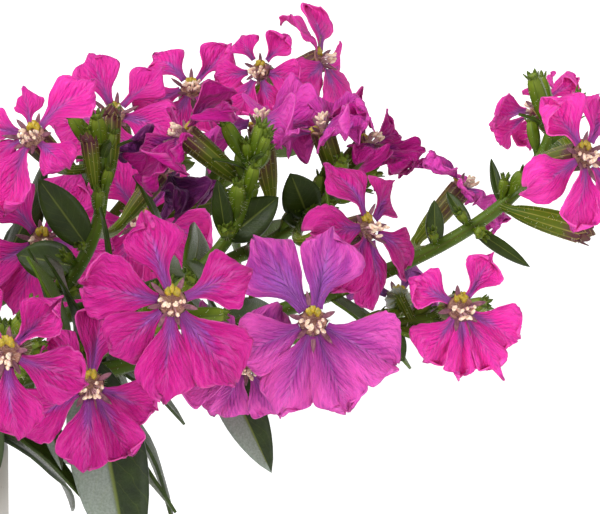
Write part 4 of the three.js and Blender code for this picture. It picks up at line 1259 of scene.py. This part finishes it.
class StageSettings(bpy.types.PropertyGroup):
    """The floor, the light and the camera."""

    sky: FloatProperty(
        name="Surrounding light", description="Strength of the light from all round", min=0,
        default=0.34)
    key: FloatProperty(
        name="Main light", description="Power of the main soft light", unit="POWER", min=0,
        default=16.5)
    distance: FloatProperty(
        name="Camera distance", description="From the camera to the blooms", unit="LENGTH",
        min=0.1, default=0.54)
    lens: FloatProperty(
        name="Lens", description="Focal length", unit="CAMERA", min=20, default=180)


class CupheaSettings(bpy.types.PropertyGroup):
    """All that a user may change."""

    pot: PointerProperty(
        name="Pot", description="The pot's finish", type=PotSettings)
    compost: PointerProperty(
        name="Compost", description="The compost", type=CompostSettings)
    shoots: PointerProperty(
        name="Shoots", description="Stems, leaves, tubes and buds", type=ShootSettings)
    flowers: PointerProperty(
        name="Flowers", description="Petals and throats", type=FlowerSettings)
    stage: PointerProperty(
        name="Stage", description="Floor, light and camera", type=StageSettings)


# Operators


def outer_radius(z):
    """The pot's outer radius at a height, below its rim band."""
    widens = POT_RIM_RADIUS - RIM_STEP - POT_FOOT_RADIUS
    return POT_FOOT_RADIUS + widens * z / (POT_HEIGHT - RIM_BAND)


def inner_radius(z):
    """The pot's inner radius at a height."""
    return outer_radius(z) - POT_WALL


class CUPHEA_OT_pot(bpy.types.Operator):
    """Make the turned pot with its rim band and drain holes"""

    bl_idname = "cuphea.pot"
    bl_label = "Pot"

    def execute(self, context):
        settings = context.scene.cuphea.pot
        band = POT_HEIGHT - RIM_BAND
        corner = [(math.sin(a), 1 - math.cos(a)) for a in (0.4, 0.8, 1.2)]
        profile = [(0, 0), (POT_FOOT_RADIUS - EDGE, 0)]
        profile += [(POT_FOOT_RADIUS - EDGE + EDGE * x, EDGE * y) for x, y in corner]
        profile += [(outer_radius(z), z) for z in (EDGE, band - 0.2, band)]
        profile += [(POT_RIM_RADIUS - 0.6, band + 0.3), (POT_RIM_RADIUS - 0.1, band + 0.9)]
        profile += [(POT_RIM_RADIUS, band + EDGE), (POT_RIM_RADIUS, POT_HEIGHT - EDGE)]
        profile += [(POT_RIM_RADIUS - 0.25, POT_HEIGHT - 0.7)]
        profile += [(POT_RIM_RADIUS - 0.8, POT_HEIGHT - 0.15), (POT_RIM_RADIUS - EDGE, POT_HEIGHT)]
        profile += [(inner_radius(POT_HEIGHT) + EDGE, POT_HEIGHT)]
        profile += [(inner_radius(POT_HEIGHT) + 0.5, POT_HEIGHT - 0.35)]
        profile += [(inner_radius(z), z) for z in (POT_HEIGHT - EDGE, POT_FLOOR)]
        profile += [(0, POT_FLOOR)]
        points, faces = turned_shape(profile, settings.sides)
        shell = mesh_of("shell", points, faces=faces)
        cutters = []
        for i in range(DRAINS):
            angle = 2 * math.pi * i / DRAINS
            centre = (DRAIN_RING * math.cos(angle), DRAIN_RING * math.sin(angle), 0)
            # The cutter passes right through the floor.
            low, high = -4, 2 * POT_FLOOR
            hole = [(0, low), (DRAIN_RADIUS, low), (DRAIN_RADIUS, high), (0, high)]
            ring, sides = turned_shape(hole, DRAIN_SIDES, centre)
            cutters.append(mesh_of("hole", ring, faces=sides))
        pot = joined("flower_pot", [shell])
        cutter = joined("drain_cutter", cutters)
        cut = pot.modifiers.new("Drains", "BOOLEAN")
        cut.object, cut.operation, cut.solver = cutter, "DIFFERENCE", "EXACT"
        graph = context.evaluated_depsgraph_get()
        mesh = bpy.data.meshes.new_from_object(pot.evaluated_get(graph), depsgraph=graph)
        pot.modifiers.clear()
        pot.data = mesh
        bpy.data.objects.remove(cutter)
        smooth(mesh).set_sharp_from_angle(angle=math.radians(40))
        mesh.materials.clear()
        mesh.materials.append(self.glaze(settings))
        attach(pot, "root")
        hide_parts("pot")
        return {"FINISHED"}

    @staticmethod
    def glaze(settings):
        """Matt-glazed stoneware: an even grey-beige coat with fine darker specks where iron
        shows through, slightly uneven to the touch."""
        material, tree, shader = new_material("Matt stoneware glaze", settings.gloss,
                                              Coat_Weight=0.15, Coat_Roughness=0.3)
        spot = add(tree, "ShaderNodeTexCoord").outputs["Object"]
        broad = add(tree, "ShaderNodeTexNoise", {
            "Vector": spot, "Scale": grains(14), "Detail": 3.0})
        fine = add(tree, "ShaderNodeTexNoise", {
            "Vector": spot, "Scale": grains(0.9), "Detail": 2.0})
        cloud = add(tree, "ShaderNodeMapRange", [broad, 0.3, 0.7, 0.0, 0.25])
        speck = add(tree, "ShaderNodeMapRange", [fine, 0.68, 0.74, 0.0, 0.6])
        colour = tuple(settings.glaze)
        for share, tint in ((cloud, "#847B6E"), (speck, "#6B5B4A")):
            colour = add(tree, "ShaderNodeMix", {
                0: share, 6: colour, 7: linear(tint)}, data_type="RGBA")
        tree.links.new(colour.outputs[2], shader.inputs["Base Color"])
        bump = add(tree, "ShaderNodeBump", {"Strength": 0.2, "Distance": 0.5 * MM, "Height": broad})
        tree.links.new(bump.outputs[0], shader.inputs["Normal"])
        return material


class CUPHEA_OT_compost(bpy.types.Operator):
    """Make the compost with its crumbs and pale grains"""

    bl_idname = "cuphea.compost"
    bl_label = "Compost"

    def execute(self, context):
        settings = context.scene.cuphea.compost
        floor = POT_FLOOR + SEAT_GAP
        flat = math.cos(math.pi / PACKED_SOIL_SIDES)
        foot = inner_radius(floor) * flat - SEAT_GAP
        brim = inner_radius(SOIL_BRIM) * flat - SEAT_GAP
        profile = [(0, floor), (foot, floor), (brim, SOIL_BRIM)]
        profile += [(brim * (1 - i / SOIL_RINGS), SOIL_TOP) for i in range(1, SOIL_RINGS + 1)]
        points, faces = turned_shape(profile, SOIL_SIDES)
        points = np.array(points)
        # Broad lumps and small ones, both lower towards the brim
        top = points[:, 2] > SOIL_BRIM + 0.1
        x, y = points[:, 0], points[:, 1]
        lump = np.sin(0.31 * x + 1.3) * np.sin(0.27 * y + 0.4) + 0.4 * np.sin(0.9 * x - 0.7 * y)
        small = 0.5 * np.sin(1.9 * x + 0.6 * y) * np.sin(1.7 * y - 0.8 * x)
        fall = np.clip((brim - np.hypot(x, y)) / (brim / 3), 0, 1)
        raised = SOIL_BRIM + (SOIL_TOP - SOIL_BRIM + SOIL_LUMP * (lump + small)) * fall
        points[:, 2] = np.where(top, raised, points[:, 2])
        mesh = mesh_of("compost", points, faces=faces)
        peat = grain_material(
            # Damp peat: near black between its fibres and crumbs and brown on them.
            "Damp peat compost", [(0.3, "#1C130D"), (0.55, "#38281C"), (0.75, "#5A4330")],
            0.95, 1.1, 0.8)
        perlite = grain_material(
            # Expanded perlite: bright, chalky and full of small pits.
            "Perlite grain", [(0.3, "#CFCBC2"), (0.7, "#F0EEE8")], 0.9, 0.5, 0.5)
        mesh.materials.append(peat)
        values = {"Count for each square metre": settings.crumbs, "Radius": settings.crumb,
                  "Pale share": settings.pale, "Seed": 4, "Crumb": peat, "Grain": perlite}
        mesh = made(mesh, [(tree_of("Compost crumbs", crumb_tree), values)])
        compost = joined("compost_with_crumbs", [mesh])
        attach(compost, "root")
        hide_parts("soil")
        return {"FINISHED"}


def calyx_line(bloom, bare):
    """The line of a stalk and calyx tube, from inside the stem to behind the petals."""
    length = TUBE_LENGTH * bloom.wide
    base = bloom.centre - bloom.face * length
    root = bloom.stem.nearest(base)
    pull = min(0.35 * np.linalg.norm(base - root), 6.0)
    bend = base - bloom.face * pull
    line = []
    for i in range(STALK_POINTS):
        q = i / STALK_POINTS
        point = root * (1 - q) ** 2 + bend * 2 * q * (1 - q) + base * q * q
        line.append((point, STALK_RADIUS * (1 + 0.25 * q**3)))
    shape = [(0, 1.15), (0.1, 1.5), (0.25, 1.85), (0.45, 2.15), (0.65, 2.3), (0.85, 2.4),
             (0.95, 2.45)]
    for q, girth in shape:
        line.append((base + bloom.face * length * q, girth * bloom.wide))
    # A bare tube ends further down, where its open mouth takes over.
    end = 1.0 if bare else TUBE_GAP
    line.append((bloom.centre - bloom.face * end, shape[-1][1] * bloom.wide))
    return line


def open_mouth(bloom, material):
    """The open, toothed mouth of a calyx tube that carries no petals."""
    cup = [(0, -1.4), (2.3, -1.3), (2.44, -0.7), (2.5, 0.0), (2.3, 0.1), (2.05, -0.5),
           (1.9, -2.2), (0, -2.4)]
    cup = [(r * bloom.wide, h * bloom.wide) for r, h in cup]
    points, faces = turned_shape(cup, MOUTH_SIDES, bloom.centre, bloom.face, bloom.top)
    for ring in (2, 3):
        for k in range(MOUTH_SIDES):
            rise = 0.8 * math.cos(math.radians(6 * 360 * k / MOUTH_SIDES))
            points[1 + ring * MOUTH_SIDES + k] += bloom.face * rise
    shares = [1.0 if np.dot(p - bloom.centre, bloom.face) > -0.5 else 0.9 for p in points]
    mesh = mesh_of("mouth", points, faces=faces, lengthwise=shares)
    mesh.materials.append(material)
    return smooth(mesh)


def bud_line(root, axis, length, girth):
    """The line of a bud, widest a little past its middle and closing towards its tip."""
    shape = [(0.08, 0.9), (0.2, 1.25), (0.38, 1.6), (0.58, 1.75), (0.8, 1.6), (0.95, 1.3),
             (1.0, 0.9)]
    line = [(root, 0.7 * girth)]
    return line + [(root + axis * (BUD_ROOT + length * q), girth * g) for q, g in shape]


def bud_lobes(buds):
    """The small pointed lobes that close each bud, which lean out a little from its axis."""
    lobes = []
    for n, (root, axis, length, girth) in enumerate(buds):
        end = root + axis * (BUD_ROOT + 0.9 * length)
        over = square_to(axis, UP + 0.1 * axis)
        for k in range(BUD_LOBES):
            turn = 360 * k / BUD_LOBES + 20 * (draw(70 + n, k, 31) - 0.5)
            outward = turned(over, axis, turn)
            lean = math.radians(30 + 16 * (draw(70 + n, k, 32) - 0.5))
            tip, normal = leaning(outward, axis, lean)
            grown = (0.7 + 1.3 * girth) * (0.85 + 0.3 * draw(70 + n, k, 33))
            lobes.append(blade(end + outward * (0.8 * girth), tip, normal,
                               (grown, 0.16 + 0.3 * girth, -0.15)))
    return lobes


def axil_bud(leaf, seed):
    """A small bud between a leaf and its stem: its root, its axis, its length and girth."""
    lean = 0.4 + 0.5 * draw(seed, 51)
    axis = unit(leaf["axis"] * lean + leaf["normal"] * 0.8
                + leaf["side"] * 0.9 * (draw(seed, 52) - 0.5))
    return leaf["base"], axis, 1.8 + 2.6 * draw(seed, 53) ** 2, 0.45 + 0.25 * draw(seed, 54)


def tip_cluster(stem):
    """The smaller buds and the bracts that crowd a stem's tip, between and below its large
    buds."""
    point, direction = stem.along(1)
    small, bracts = [], []
    for n in range(TIP_CROWD):
        around = math.radians(360 * n / TIP_CROWD + 50 * (draw(stem.index, n, 61) - 0.5))
        opened = math.radians(24 + 36 * draw(stem.index, n, 62))
        axis, normal = leaning(round_stem(direction, around), direction, opened)
        if n % 2:
            small.append((point - direction * BUD_ROOT, axis, 2.6 + 3.2 * draw(stem.index, n, 63),
                          0.5 + 0.2 * draw(stem.index, n, 64)))
        else:
            size = (4.5 + 3 * draw(stem.index, n, 65), 0.9, 0.25)
            bracts.append(blade(point - direction * (1 + n / 4), axis, normal, size, youth=0.35))
    for n in range(BUDS_BELOW if stem.leafy_to < LAST_LEAF else 0):
        point, direction = stem.along(0.86 + 0.025 * n)
        around = math.radians(150 * n + 60 * draw(stem.index, n, 66))
        opened = math.radians(22 + 22 * draw(stem.index, n, 67))
        axis, _ = leaning(round_stem(direction, around), direction, opened)
        small.append((point, axis, 3.6 + 3 * draw(stem.index, n, 68),
                      0.6 + 0.25 * draw(stem.index, n, 69)))
    return small, bracts


def stem_line(stem):
    """The line of a stem, swollen at each pair of leaves."""
    joints = np.linspace(FIRST_LEAF, stem.leafy_to, leaf_pairs(stem))
    line = []
    for i in range(BARK_STEPS + 1):
        t = i / BARK_STEPS
        girth = STEM_FOOT_RADIUS + (STEM_TIP_RADIUS - STEM_FOOT_RADIUS) * t
        swell = JOINT_SWELL * np.exp(-(((t - joints) / JOINT_REACH) ** 2)).sum()
        line.append((stem.along(t)[0], BARK_SHARE * girth * (1 + swell)))
    return line


class CUPHEA_OT_shoots(bpy.types.Operator):
    """Make each stem with its leaves, calyx tubes, buds and hairs"""

    bl_idname = "cuphea.shoots"
    bl_label = "Shoots"

    def execute(self, context):
        settings = context.scene.cuphea.shoots
        stems, leaves, buds, _, tubes = grow_plant()
        looks = self.looks()
        hairs = {"Count for each square metre": settings.hairs, "Length": settings.hair,
                 "Radius": HAIR_RADIUS * MM, "Seed": 2, "Hair": looks["hair"]}

        def hairy_skin(lines, shape, look):
            """Ribbed tubes along lines, with hairs on them."""
            values = {**shape, "Skin": looks[look]}
            return made(lines_mesh(lines), [(tree_of("Ribbed tubes", tube_tree), values),
                                            (tree_of("Plant hairs", hair_tree), hairs)])

        for name, stem in stems.items():
            parts = [hairy_skin([stem_line(stem)], BARK, "bark")]
            if tubes[name]:
                lines = [calyx_line(bloom, bare) for bloom, bare in tubes[name]]
                ribbed = {**CALYX, "Sides": 2 * settings.ribs, "Ribs": settings.ribs}
                parts.append(hairy_skin(lines, ribbed, "calyx"))
            small, bracts = tip_cluster(stem)
            small += [axil_bud(leaf, 40 * stem.index + n)
                      for n, leaf in enumerate(leaves[name]) if leaf["youth"] > 0.1]
            shut = [(*bud, LARGE_BUD) for bud in buds[name]] + small
            if shut:
                parts.append(hairy_skin([bud_line(*bud) for bud in shut], BUD, "bud"))
                parts.append(blades_mesh(bud_lobes(shut), BUD_TIP, looks["bud tips"],
                                         BUD_TIP_THICKNESS))
            parts.append(blades_mesh(leaves[name] + bracts, LEAF_BLADE, looks["leaf"],
                                     settings.blade / MM))
            parts += [open_mouth(bloom, looks["calyx"]) for bloom, bare in tubes[name] if bare]
            shoot = joined(f"shoot_{name}", parts)
            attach(shoot, "root")
            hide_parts(f"stem_{name}")
        return {"FINISHED"}

    @staticmethod
    def looks():
        """The materials of the shoots."""
        return {
            # Young green bark: soft and slightly moist, so a satin green with darker ribs.
            "bark": skin_material("Young green bark", "#343A0A", "#445A0C", "#484210",
                                  "#526A10"),
            # Calyx skin: green at its foot, tawny on the ribs and dusky purple at the mouth.
            "calyx": skin_material("Ribbed calyx skin", "#3E5608", "#55640C", "#ACA44A",
                                   "#5A2E36"),
            # Bud skin: taut and thin, a fresher green than the tube that it becomes.
            "bud": skin_material("Green bud skin", "#3A5208", "#566C0E", "#2E4404", "#748626"),
            # Bud tips: soft new tissue, lighter and more matt than the leaves.
            "bud tips": leaf_material("Bud tip tissue", "#445810", "#5E721A", "#708224",
                                      "#9CA454"),
            # Leaf blade: tough and waxed, a dark green with a greyish sheen painted on the half
            # where light rakes it.
            "leaf": leaf_material("Waxy leaf blade with painted sheen", "#101C04", "#2A3A08", "#526A10",
                                  "#727E36"),
            # Plant hairs: clear threads of a single row of cells, so pale against the skin.
            "hair": grain_material("Plant hair", [(0.3, "#A3B07C"), (0.7, "#DADCC2")], 0.5,
                                   0.4, 0.1),
        }


def throat(bloom, lining, hair):
    """The hairy cup at the middle of a bloom, bare on its outside."""
    cup = [(0, -1.0), (1.5, -0.9), (2.1, -0.4), (2.3, 0.0), (2.32, 0.3), (2.15, 0.5),
           (1.8, 0.4), (1.3, 0.1), (0.7, -0.1), (0, -0.15)]
    cup = [(r * bloom.wide, h * bloom.wide) for r, h in cup]
    points, faces = turned_shape(cup, THROAT_SIDES, bloom.centre, bloom.face, bloom.top)
    outside = [1.0 if n < 1 + 4 * THROAT_SIDES else 0.0 for n in range(len(points))]
    mesh = mesh_of("throat", points, faces=faces, bare=outside)
    mesh.materials.append(lining)
    hairs = {"Count for each square metre": THROAT_HAIRS_NEAR if bloom.near else THROAT_HAIRS_FAR,
             "Length": THROAT_HAIR_LENGTH * MM, "Radius": THROAT_HAIR_RADIUS * MM, "Seed": 9,
             "Hair": hair}
    return made(smooth(mesh), [(tree_of("Plant hairs", hair_tree), hairs)])


def calyx_lobes(bloom):
    """The pointed lobes of the calyx, which stand out between the petals."""
    lobes = []
    for k, petal in enumerate(bloom.petals):
        outward = bloom.round(petal["angle"] + petal["high"])
        lean = math.radians(66 + 24 * (draw(bloom.index, k, 21) - 0.5))
        axis, normal = leaning(outward, bloom.face, lean)
        length = (2.7 + 1.5 * draw(bloom.index, k, 22)) * bloom.wide
        base = bloom.centre + outward * 1.5 * bloom.wide + bloom.face * 0.2
        lobes.append(blade(base, axis, normal, (length, 0.42 * bloom.wide, -0.16)))
    return lobes


def nectar_lobes(bloom, material):
    """Two swollen lobes above the throat, and a smaller one above them."""
    dome = [(math.sin(a), -math.cos(a)) for a in np.linspace(0, math.pi, 9)]
    lobes = []
    for hand, size, raised in ((-1, 0.9, 0.0), (1, 0.84, 0.1), (0, 0.75, 0.45)):
        points, faces = turned_shape(dome, LOBE_SIDES, (0, 0, 0), bloom.face, bloom.left)
        place = bloom.top * (1.75 + raised) + bloom.left * 0.68 * hand
        place = place + bloom.face * (0.6 + raised / 3)
        swell = [1 + 0.3 * lattice(3 * p[0], 3 * p[2], bloom.index + hand) for p in points]
        points = [
            bloom.centre + bloom.wide * (place + size * grow * (
                bloom.left * 0.72 * p.dot(bloom.left) + bloom.top * 1.05 * p.dot(bloom.top)
                + bloom.face * 0.55 * p.dot(bloom.face)))
            for p, grow in zip(points, swell)]
        mesh = mesh_of("nectar lobe", points, faces=faces)
        mesh.materials.append(material)
        lobes.append(smooth(mesh))
    return lobes


def stamens(bloom, count, filament, anther):
    """Stamens that rise from the lower side of the throat and spread."""
    roots, axes, reaches = [], [], []
    for n in range(count):
        stray = 24 * (draw(bloom.index, n, 23) - 0.5)
        ray = bloom.round(180 + 20 * (n - (count - 1) / 2) + stray)
        root = bloom.centre + ray * 0.7 * bloom.wide - bloom.face * 0.2
        spread = (0.6 + 1.7 * draw(bloom.index, n, 24)) * bloom.wide
        rise = 1.9 + 1.5 * draw(bloom.index, n, 25)
        tip = bloom.centre + ray * spread + bloom.face * rise * bloom.wide
        roots.append(root)
        axes.append(unit(tip - root))
        reaches.append(np.linalg.norm(tip - root) * MM)
    values = {"Filament radius": FILAMENT_RADIUS * MM, "Anther radius": ANTHER_RADIUS * MM,
              "Filament": filament, "Anther": anther}
    return made(mesh_of("stamens", roots, axis=axes, reach=reaches),
                [(tree_of("Stamens", stamen_tree), values)])


class CUPHEA_OT_flowers(bpy.types.Operator):
    """Make each flower: crinkled petals, calyx lobes, nectar lobes and stamens"""

    bl_idname = "cuphea.flowers"
    bl_label = "Flowers"

    def execute(self, context):
        settings = context.scene.cuphea.flowers
        _, _, _, blooms, _ = grow_plant()
        petals = {look: petal_material(f"Petal tissue, {look}", *colours)
                  for look, colours in PETAL_LOOKS.items()}
        looks = {
            # Calyx lobe: purple-brown, thick and dry-looking beside the petals.
            "sepal": grain_material("Calyx lobe tissue", [(0.3, "#5E2C44"), (0.7, "#96606E")],
                                    0.55, 0.8, 0.3),
            # Throat lining: hairy, moist and brownish pink, darkened with painted shade so that it
            # reads as a hollow.
            "throat": grain_material("Throat lining", [(0.3, "#7E4C50"), (0.7, "#B98A70")],
                                     0.6, 0.7, 0.5),
            # Nectar lobes: smooth swollen tissue of a waxy, saturated yellow.
            "spot": self.tinted("Nectar lobe tissue", settings.spot, "#7C7A1E", 0.4, 0.6),
            # Filament: a clear pinkish thread.
            "filament": grain_material("Stamen filament", [(0.3, "#C48A9A"), (0.7, "#E6BFC2")],
                                       0.5, 0.5, 0.1),
            # Anther: dusty with cream pollen.
            "anther": self.tinted("Anther with pollen", settings.anther, "#CC9470", 0.8, 0.4),
            # Throat hair: the same clear hair as on the skin, pink from the tissue round it.
            "hair": grain_material("Throat hair", [(0.3, "#B48A7E"), (0.7, "#E4C8B4")], 0.5,
                                   0.4, 0.1),
        }
        for node, group in blooms.items():
            parts = []
            for bloom in group:
                parts.append(self.petals(bloom, settings, petals[bloom.look]))
                parts += self.centre(bloom, settings, looks)
            flower = joined(node.replace("bloom", "flower"), parts)
            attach(flower, "root")
            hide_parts(node)
        return {"FINISHED"}

    @staticmethod
    def tinted(name, colour, shade, roughness, size):
        """Smooth tissue of a colour that a user may change, a little darker in patches."""
        material, tree, shader = new_material(name, roughness, Subsurface_Weight=0.15,
                                              Subsurface_Scale=0.5 * MM)
        spot = add(tree, "ShaderNodeTexCoord").outputs["Object"]
        patch = add(tree, "ShaderNodeTexNoise", {"Vector": spot, "Scale": grains(size)})
        patch = add(tree, "ShaderNodeMapRange", [patch, 0.35, 0.7, 0.0, 0.7])
        mix = add(tree, "ShaderNodeMix", {
            0: patch, 6: tuple(colour), 7: linear(shade)}, data_type="RGBA")
        tree.links.new(mix.outputs[2], shader.inputs["Base Color"])
        return material

    @staticmethod
    def petals(bloom, settings, material):
        """A mesh of all the petals of a bloom, as closed thin sheets."""
        rows, columns = NEAR_SHEET if bloom.near else FAR_SHEET
        s = 1 - (1 - np.linspace(0, 1, rows)[:, None]) ** 1.3
        t = np.linspace(-1, 1, columns)[None, :]
        t = 1.25 * t - 0.25 * t**3
        crumple = settings.crumple * CRUMPLES.get(bloom.look, 1.0)
        points, faces, uv, tones = [], [], [], []
        for k, petal in enumerate(bloom.petals):
            layer = 0.45 if k % 2 else -0.25
            tone = 0.3 * draw(bloom.index, k, 42)
            tone += (-0.1 if is_upper(petal) else 0.8) if bloom.look == "violet" else 0.35
            tones += [tone] * (rows * columns)
            first = len(points) * rows * columns
            points.append(petal_points(bloom, petal, s, t, crumple, layer).reshape(-1, 3))
            faces += [tuple(first + i for i in face) for face in grid_faces(rows, columns)]
            u, v = np.broadcast_arrays(s, (t + 1) / 2)
            uv.append(np.stack([u, v], -1).reshape(-1, 2))
        mesh = mesh_of("petals", np.concatenate(points), faces=faces, tone=tones)
        uv = np.concatenate(uv)
        corners = np.array([loop.vertex_index for loop in mesh.loops])
        mesh.uv_layers.new(name="UVMap").data.foreach_set("uv", uv[corners].ravel())
        mesh.materials.append(material)
        return made(smooth(mesh), thickness=settings.thickness / MM)

    @staticmethod
    def centre(bloom, settings, looks):
        """The throat, its calyx lobes, nectar lobes and stamens."""
        lobes = blades_mesh(calyx_lobes(bloom), CALYX_LOBE, looks["sepal"], CALYX_LOBE_THICKNESS)
        parts = [throat(bloom, looks["throat"], looks["hair"]), lobes]
        parts += nectar_lobes(bloom, looks["spot"])
        if settings.stamens:
            parts.append(stamens(bloom, settings.stamens, looks["filament"], looks["anther"]))
        return parts


class CUPHEA_OT_stage(bpy.types.Operator):
    """Set out the pale floor and backdrop, the soft lights and the camera"""

    bl_idname = "cuphea.stage"
    bl_label = "Stage"

    def execute(self, context):
        settings, scene = context.scene.cuphea.stage, context.scene
        self.camera(scene, settings)
        backdrop = self.backdrop()
        for name, share, size, place in LIGHTS:
            self.light(scene, name, share * settings.key, size, place)
        world = bpy.data.worlds.new("Studio surroundings")
        scene.world = world
        world.use_nodes = True
        sky = world.node_tree.nodes["Background"]
        sky.inputs["Color"].default_value = (1.0, 1.0, 1.0, 1.0)
        sky.inputs["Strength"].default_value = settings.sky
        scene.view_settings.view_transform = "Standard"
        return {"FINISHED"}

    @staticmethod
    def camera(scene, settings):
        """The camera at the photograph's viewing angle, a little above the blooms."""
        tilt = math.radians(CAMERA_TILT)
        camera = bpy.data.objects.new("Camera", bpy.data.cameras.new("Camera"))
        away = settings.distance * vector([0, -math.cos(tilt), math.sin(tilt)])
        camera.location = vector(CAMERA_AIM) + away
        camera.rotation_euler = (math.radians(90) - tilt, 0, 0)
        camera.data.lens, camera.data.sensor_width = settings.lens, SENSOR_WIDTH
        camera.data.clip_start, camera.data.clip_end = 0.01, 100
        scene.collection.objects.link(camera)
        scene.camera = camera

    @staticmethod
    def backdrop():
        """A sheet of paper that runs under the pot and curves up behind it."""
        section = [(PAPER_FRONT, 0.0), (PAPER_BACK, 0.0)]
        for i in range(1, 13):
            a = math.radians(90 * i / 12)
            section.append((PAPER_BACK + PAPER_CURVE * math.sin(a),
                            PAPER_CURVE * (1 - math.cos(a))))
        section.append((PAPER_BACK + PAPER_CURVE, PAPER_TOP))
        sides = (-PAPER_HALF_WIDTH, PAPER_HALF_WIDTH)
        points = [(x / MM, y / MM, z / MM) for y, z in section for x in sides]
        mesh = smooth(mesh_of("backdrop", points, faces=grid_faces(len(section), 2)))
        material, tree, shader = new_material(
            # Matt white paper, lit until it is almost as bright as the light itself.
            "Matt white studio paper", 0.9, Specular_IOR_Level=0.1,
            Emission_Color=(1.0, 1.0, 1.0, 1.0))
        spot = add(tree, "ShaderNodeTexCoord").outputs["Object"]
        shade = add(tree, "ShaderNodeTexNoise", {"Vector": spot, "Scale": grains(400)})
        shade = add(tree, "ShaderNodeValToRGB", [shade], stops=[(0.3, "#F4F4F3"), (0.7, "#F8F8F8")])
        tree.links.new(shade.outputs[0], shader.inputs["Base Color"])
        away = add(tree, "ShaderNodeVectorMath", [spot], operation="LENGTH").outputs["Value"]
        glow = add(tree, "ShaderNodeMapRange", [away, 0.4, 3.0, 0.45, 0.78])
        tree.links.new(glow.outputs[0], shader.inputs["Emission Strength"])
        mesh.materials.append(material)
        return joined("studio_backdrop", [mesh])

    @staticmethod
    def light(scene, name, power, size, place):
        """A soft square light that faces the plant."""
        light = bpy.data.lights.new(name, "AREA")
        light.energy, light.size, light.shape = power, size, "SQUARE"
        lamp = bpy.data.objects.new(name, light)
        lamp.location = place
        way = vector(place) - vector(LIGHT_AIM)
        flat = math.hypot(way[0], way[1])
        lamp.rotation_euler = (math.atan2(flat, way[2]), 0, math.atan2(way[0], -way[1]))
        scene.collection.objects.link(lamp)


class CUPHEA_PT_panel(bpy.types.Panel):
    """The steps that build the plant, with their settings."""

    bl_idname = "CUPHEA_PT_panel"
    bl_label = "Potted Cuphea"
    bl_space_type = "VIEW_3D"
    bl_region_type = "UI"
    bl_category = "Cuphea"

    def draw(self, context):
        settings = context.scene.cuphea
        for step in ("pot", "compost", "shoots", "flowers", "stage"):
            box = self.layout.box()
            box.operator(f"cuphea.{step}")
            values = getattr(settings, step)
            for key in values.__annotations__:
                box.prop(values, key)


CLASSES = (
    PotSettings, CompostSettings, ShootSettings, FlowerSettings, StageSettings, CupheaSettings,
    CUPHEA_OT_pot, CUPHEA_OT_compost, CUPHEA_OT_shoots, CUPHEA_OT_flowers, CUPHEA_OT_stage,
    CUPHEA_PT_panel,
)


def register():
    for cls in CLASSES:
        bpy.utils.register_class(cls)
    bpy.types.Scene.cuphea = PointerProperty(
        name="Cuphea", description="Settings of the potted cuphea", type=CupheaSettings)


def unregister():
    del bpy.types.Scene.cuphea
    for cls in reversed(CLASSES):
        bpy.utils.unregister_class(cls)


def main():
    register()
    bpy.ops.cuphea.stage()
    bpy.ops.cuphea.pot()
    bpy.ops.cuphea.compost()
    bpy.ops.cuphea.shoots()
    bpy.ops.cuphea.flowers()


if __name__ == "__main__":
    main()
